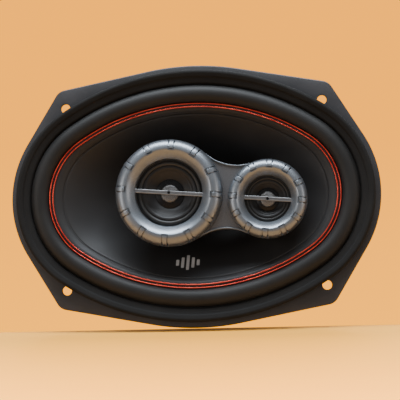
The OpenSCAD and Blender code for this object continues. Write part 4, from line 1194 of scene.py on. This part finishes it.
washer("former", "voice_coil_former", 15, 15.4, -60, -32.85, (0.1,) * 4, WOOFER)
TURNS, WIND_IN, WIND_R, WIND_BACK, WIND_LONG = 27, 15.42, 16.1, -59, 11
turns = []
for i in range(TURNS):
    turns += [(WIND_R, WIND_BACK + WIND_LONG * i / TURNS),
              (WIND_R + 0.19, WIND_BACK + WIND_LONG * (i + 0.5) / TURNS)]
winding = [(WIND_IN, WIND_BACK)] + turns + [
    (WIND_R, WIND_BACK + WIND_LONG), (WIND_IN, WIND_BACK + WIND_LONG)]
finish_as(lathe("winding", winding, steps=96, sharp=70), "voice_coil", WOOFER)

# %% Magnet, plates and boot
BOOT_BACK, YOKE_BACK, FERRITE_BACK, PLATE_BACK, PLATE_FRONT = -80, -76, -71, -56, -51
BORE_R, POLE_R, YOKE_R, FERRITE_R, BOOT_R, BOOT_TOP, SLOT_HALF = 4, 14.6, 44, 47, 49.6, -57.5, 2.2
washer("front_plate", "top_plate", 16.8, 42.5, PLATE_BACK, PLATE_FRONT, (0.2, 0.4, 0.5, 0.3))
washer("ferrite", "ferrite_magnet", 22.5, FERRITE_R, FERRITE_BACK, PLATE_BACK,
       (0.5, 0.9, 0.9, 0.5))
turned("yoke", "pole_yoke", [
    (BORE_R, YOKE_BACK, 0.3), (YOKE_R, YOKE_BACK, 0.5), (YOKE_R, FERRITE_BACK, 0.5),
    (POLE_R, FERRITE_BACK, 0.6), (POLE_R, PLATE_FRONT, 0.4), (BORE_R, PLATE_FRONT, 0.4)])
boot = lathe("boot", rounded([
    (BORE_R, BOOT_BACK, 0.3), (30, BOOT_BACK, 0), (30.6, BOOT_BACK + 0.5, 0),
    (32.4, BOOT_BACK + 0.5, 0), (33, BOOT_BACK, 0), (BOOT_R, BOOT_BACK, 2.2),
    (BOOT_R, BOOT_TOP, 0.6), (FERRITE_R + 0.2, BOOT_TOP, 0.3), (FERRITE_R + 0.2, YOKE_BACK, 0.4),
    (BORE_R, YOKE_BACK, 0.2)], 4), steps=144, sharp=40)
cut(boot, [block("cutter", (-SLOT_HALF, -51, BOOT_BACK - 1), (SLOT_HALF, -47.8, BOOT_TOP + 0.5), 0),
           block("cutter", (-SLOT_HALF, -49.6, BOOT_BACK - 1), (SLOT_HALF, 0, BOOT_BACK + 2.2), 0)])
finish_as(boot, "magnet_boot")

# %% Rivets through the basket
rivet = lathe("rivet", rounded([(0, -53.5, 0), (2, -53.5, 0.2), (2, -49.4, 0), (3.5, -49.4, 0.15),
                                (3.4, -48.6, 0.9), (0, -48.2, 0)], 5), (29, 0), 48, 50)
finish_as(around("rivets", rivet, 4, (0, 0), 45, finishes["rivet_steel"]), "basket_rivets")

# %% Post
POST_BORE, SHANK_R, POST_R, SHANK_BACK, POST_TOP = 2.4, 3.88, 9, -66, -11
post = lathe("post", rounded([
    (POST_BORE, SHANK_BACK, 0.2), (SHANK_R, SHANK_BACK, 0.4), (SHANK_R, PLATE_FRONT, 0),
    (POST_R, PLATE_FRONT, 0.3), (POST_R, POST_TOP, 0.4), (POST_BORE, POST_TOP, 0.3)], 3), steps=72)
cut(post, [lathe("cutter", [(0, POST_TOP - 11), (1.3, POST_TOP - 11), (1.3, POST_TOP + 1),
                            (0, POST_TOP + 1)], hole, 24)
           for hole in in_pod([(0, -6, 0), (0, 6, 0)])])
finish_as(post, "centre_post")


# %% [markdown]
# ## Wires, leads and capacitors
# The feed pair runs along the boot and up the bore of the pole. The tinsel leads hang from the
# terminals to the back of the cone, so they bend with it.

# %% Wires
WIRE_R, THIN_R, LEAD_X, SAG = 0.74, 0.49, 6.5, 2.5


def wire_pair(name, path_of, radius):
    """The same wire on both sides."""
    return join(name, [tube(name, path_of(side), radius) for side in (-1, 1)])


def lead_path(side):
    t = np.linspace(0, 1, 41)
    half_w = BOWL_R + LINK - SIDE_C
    y0, y1 = PAD_Y + 0.8 + 0.75 + 0.1, -half_w / 2
    share = (half_w + y1) / (half_w - NECK_R)
    z0, z1 = LEDGE_Z - SHEET + 8, cone_z(share) - CONE_T - 0.75 - 0.8
    return np.column_stack([np.full(41, side * LEAD_X), mix(y0, y1, t),
                            mix(z0, z1, t) - SAG * np.sin(np.pi * t)])


def feed_path(side):
    x, slot = side * 1.0, -48.7
    low = BOOT_BACK + 1.1
    return smooth_path([
        (side * 2.2, -53.6, -38), (side * 1.6, -53.8, -45.1), (x, -52.9, -56), (x, slot, -61.2),
        (x, slot, low + 2.2), (x, slot + 0.5, low + 0.4), (x, slot + 2, low), (x, -20, low),
        (x, -4.2, low), (x, -1.1, low + 1), (x, 0, low + 4), (x, 0, PLATE_FRONT), (x, 0, -9.5),
        (x, 0, -7.3)], 6)


def pod_path(side):
    low = -5.3
    return in_pod(smooth_path([
        (2.4, side - 0.9, low), (3.6, side * 1.3 - 0.4, low + 2.4), (5.6, side * 1.8, -0.3),
        (12, side * 2, 0.7), (18, side * 2, 1), (36.3, side * 2, 1)], 6))


def can(centre, radius, half):
    """A capacitor lying along y: a sleeved can with a crimp near one end."""
    x, y, z = centre
    profile = rounded([(0, -half, 0), (radius, -half, 0.5), (radius, half * 0.62, 0.2),
                       (radius - 0.35, half * 0.7, 0.2), (radius, half * 0.78, 0.2),
                       (radius, half, 0.5), (radius - 0.9, half, 0), (radius - 1, half - 0.2, 0),
                       (0, half - 0.2, 0)], 3)
    rings = []
    for r, along in profile:
        circle = round_ring(max(r, 0), 48)
        rings.append(np.column_stack([x + circle[:, 0], np.full(48, y + along), z + circle[:, 1]]))
    return from_rings("can", rings, 40)


low, high = layout_box("crossover_capacitors")
CAN_R, CAN_HALF = (high[0] - low[0]) / 2, 6.5
cans = [can(((low[0] + high[0]) / 2, side * (high[1] - CAN_HALF), (low[2] + high[2]) / 2),
            CAN_R, CAN_HALF) for side in (-1, 1)]
finish_as(join("cans", cans), "crossover_capacitors")
leads = wire_pair("leads", lead_path, WIRE_R)
p = layout_points(leads)
lead_y = lead_path(1)[[0, -1], 1]
finish_bending(leads, "tinsel_leads", WOOFER,
               smoothstep((p[:, 1] - lead_y[0]) / (lead_y[1] - lead_y[0])))
finish_as(wire_pair("feed_pair", feed_path, WIRE_R), "feed_wires")
finish_as(wire_pair("pod_pair", pod_path, THIN_R), "pod_wires")


# %% [markdown]
# ## The table, the light and the room
# The speaker stands on its long edge and leans back on its magnet. In this frame its sound axis
# is level, so it is the table that tips: level behind and under the speaker, falling away
# towards the camera in front. Nothing stands behind it, so it can be seen from every side.

# %% Table
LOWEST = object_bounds()[0][2]
FALL, WIDE, BEND_FROM, BEND, FRONT = math.radians(23), 1.2, 0.02, 0.064, 1.4


def paper_finish():
    """Orange paper. The camera sees its full colour, with a painted glow nearer it; what it throws on the
    speaker is milder.
    """
    f = Finish("peach_paper", Emission_Strength=1.0)
    cloud, fibre = f.noise(160, 4), f.noise(0.8, 3)
    seen = f.node("ShaderNodeLightPath", out="Is Camera Ray")
    # painted light: the paper glows for the camera, more strongly nearer it (its emission below)
    glow_nearness = f.spread(f.along("Y"), -0.02, -0.14)
    paper = f.between(cloud, (0.97, 0.40, 0.02), (0.99, 0.44, 0.03))
    f.set(Base_Color=f.blend(seen, (0.68, 0.38, 0.16), paper),
          Roughness=0.62 + 0.08 * (fibre - 0.5),
          Emission_Color=f.blend(seen * glow_nearness, (0.0, 0.0, 0.0), (3.2, 1.05, 0.02)))
    f.bump(fibre, 0.01)
    return f.material


profile = [(y, 0.0) for y in (1.0, 0.5, 0.03)]
profile += [(BEND_FROM - BEND * k, -BEND * k * math.tan(FALL * k) * 0.5)
            for k in np.linspace(0, 1, 9)]
end_y, end_z = profile[-1]
profile.append((end_y - FRONT, end_z - FRONT * math.tan(FALL)))
verts = [(x, y, LOWEST - 0.0002 + z) for y, z in profile for x in (-WIDE, WIDE)]
quads = [(2 * i, 2 * i + 1, 2 * i + 3, 2 * i + 2) for i in range(len(profile) - 1)]
mesh = bpy.data.meshes.new("table")
mesh.from_pydata(verts, [], quads)
table = add_object("table", mesh)
if sum(p.normal.z for p in mesh.polygons) < 0:
    mesh.flip_normals()
mesh.shade_smooth()
mesh.materials.append(paper_finish())


# %% Lights
def soft_light(name, place, target, size, power, colour):
    data = bpy.data.lights.new(name, "AREA")
    data.shape, data.size, data.size_y = "RECTANGLE", size[0], size[1]
    data.energy, data.color = power, colour
    lamp = add_object(name, data)
    lamp.location = place
    lamp.rotation_euler = (Vector(target) - Vector(place)).to_track_quat("-Z", "Y").to_euler()


soft_light("above", (-0.05, -0.35, 1.0), (0, 0, 0), (1.1, 0.5), 28, (0.86, 0.93, 1.0))
soft_light("above_back", (0.1, 0.35, 0.9), (0, 0.02, 0), (0.9, 0.4), 7, (0.97, 0.98, 1.0))
soft_light("left", (-0.9, -0.7, 0.1), (0, 0, 0), (0.3, 0.6), 2.5, (1, 0.93, 0.86))
soft_light("right", (1.0, -0.5, 0.1), (0, 0, 0), (0.3, 0.6), 1.5, (1, 0.9, 0.82))


world = bpy.data.worlds.new("room")
bpy.context.scene.world = world
world.use_nodes = True
tree = world.node_tree
background = tree.nodes["Background"]
path = tree.nodes.new("ShaderNodeLightPath")
place = tree.nodes.new("ShaderNodeTexCoord")
split = tree.nodes.new("ShaderNodeSeparateXYZ")
climb = tree.nodes.new("ShaderNodeMapRange")
climb.inputs[1].default_value, climb.inputs[2].default_value = -0.08, 0.15
wall, choose = tree.nodes.new("ShaderNodeMix"), tree.nodes.new("ShaderNodeMix")
wall.data_type = choose.data_type = "RGBA"
wall.inputs[6].default_value = (2.6, 0.99, 0.01, 1)      # seen low down
wall.inputs[7].default_value = (2.15, 0.76, 0.01, 1)     # seen higher up
choose.inputs[6].default_value = (0.42, 0.41, 0.40, 1)   # what lights the speaker
for start, end in ((place.outputs["Generated"], split.inputs[0]),
                   (split.outputs["Z"], climb.inputs[0]), (climb.outputs[0], wall.inputs[0]),
                   (path.outputs["Is Camera Ray"], choose.inputs[0]),
                   (wall.outputs[2], choose.inputs[7]), (choose.outputs[2], background.inputs[0])):
    tree.links.new(start, end)
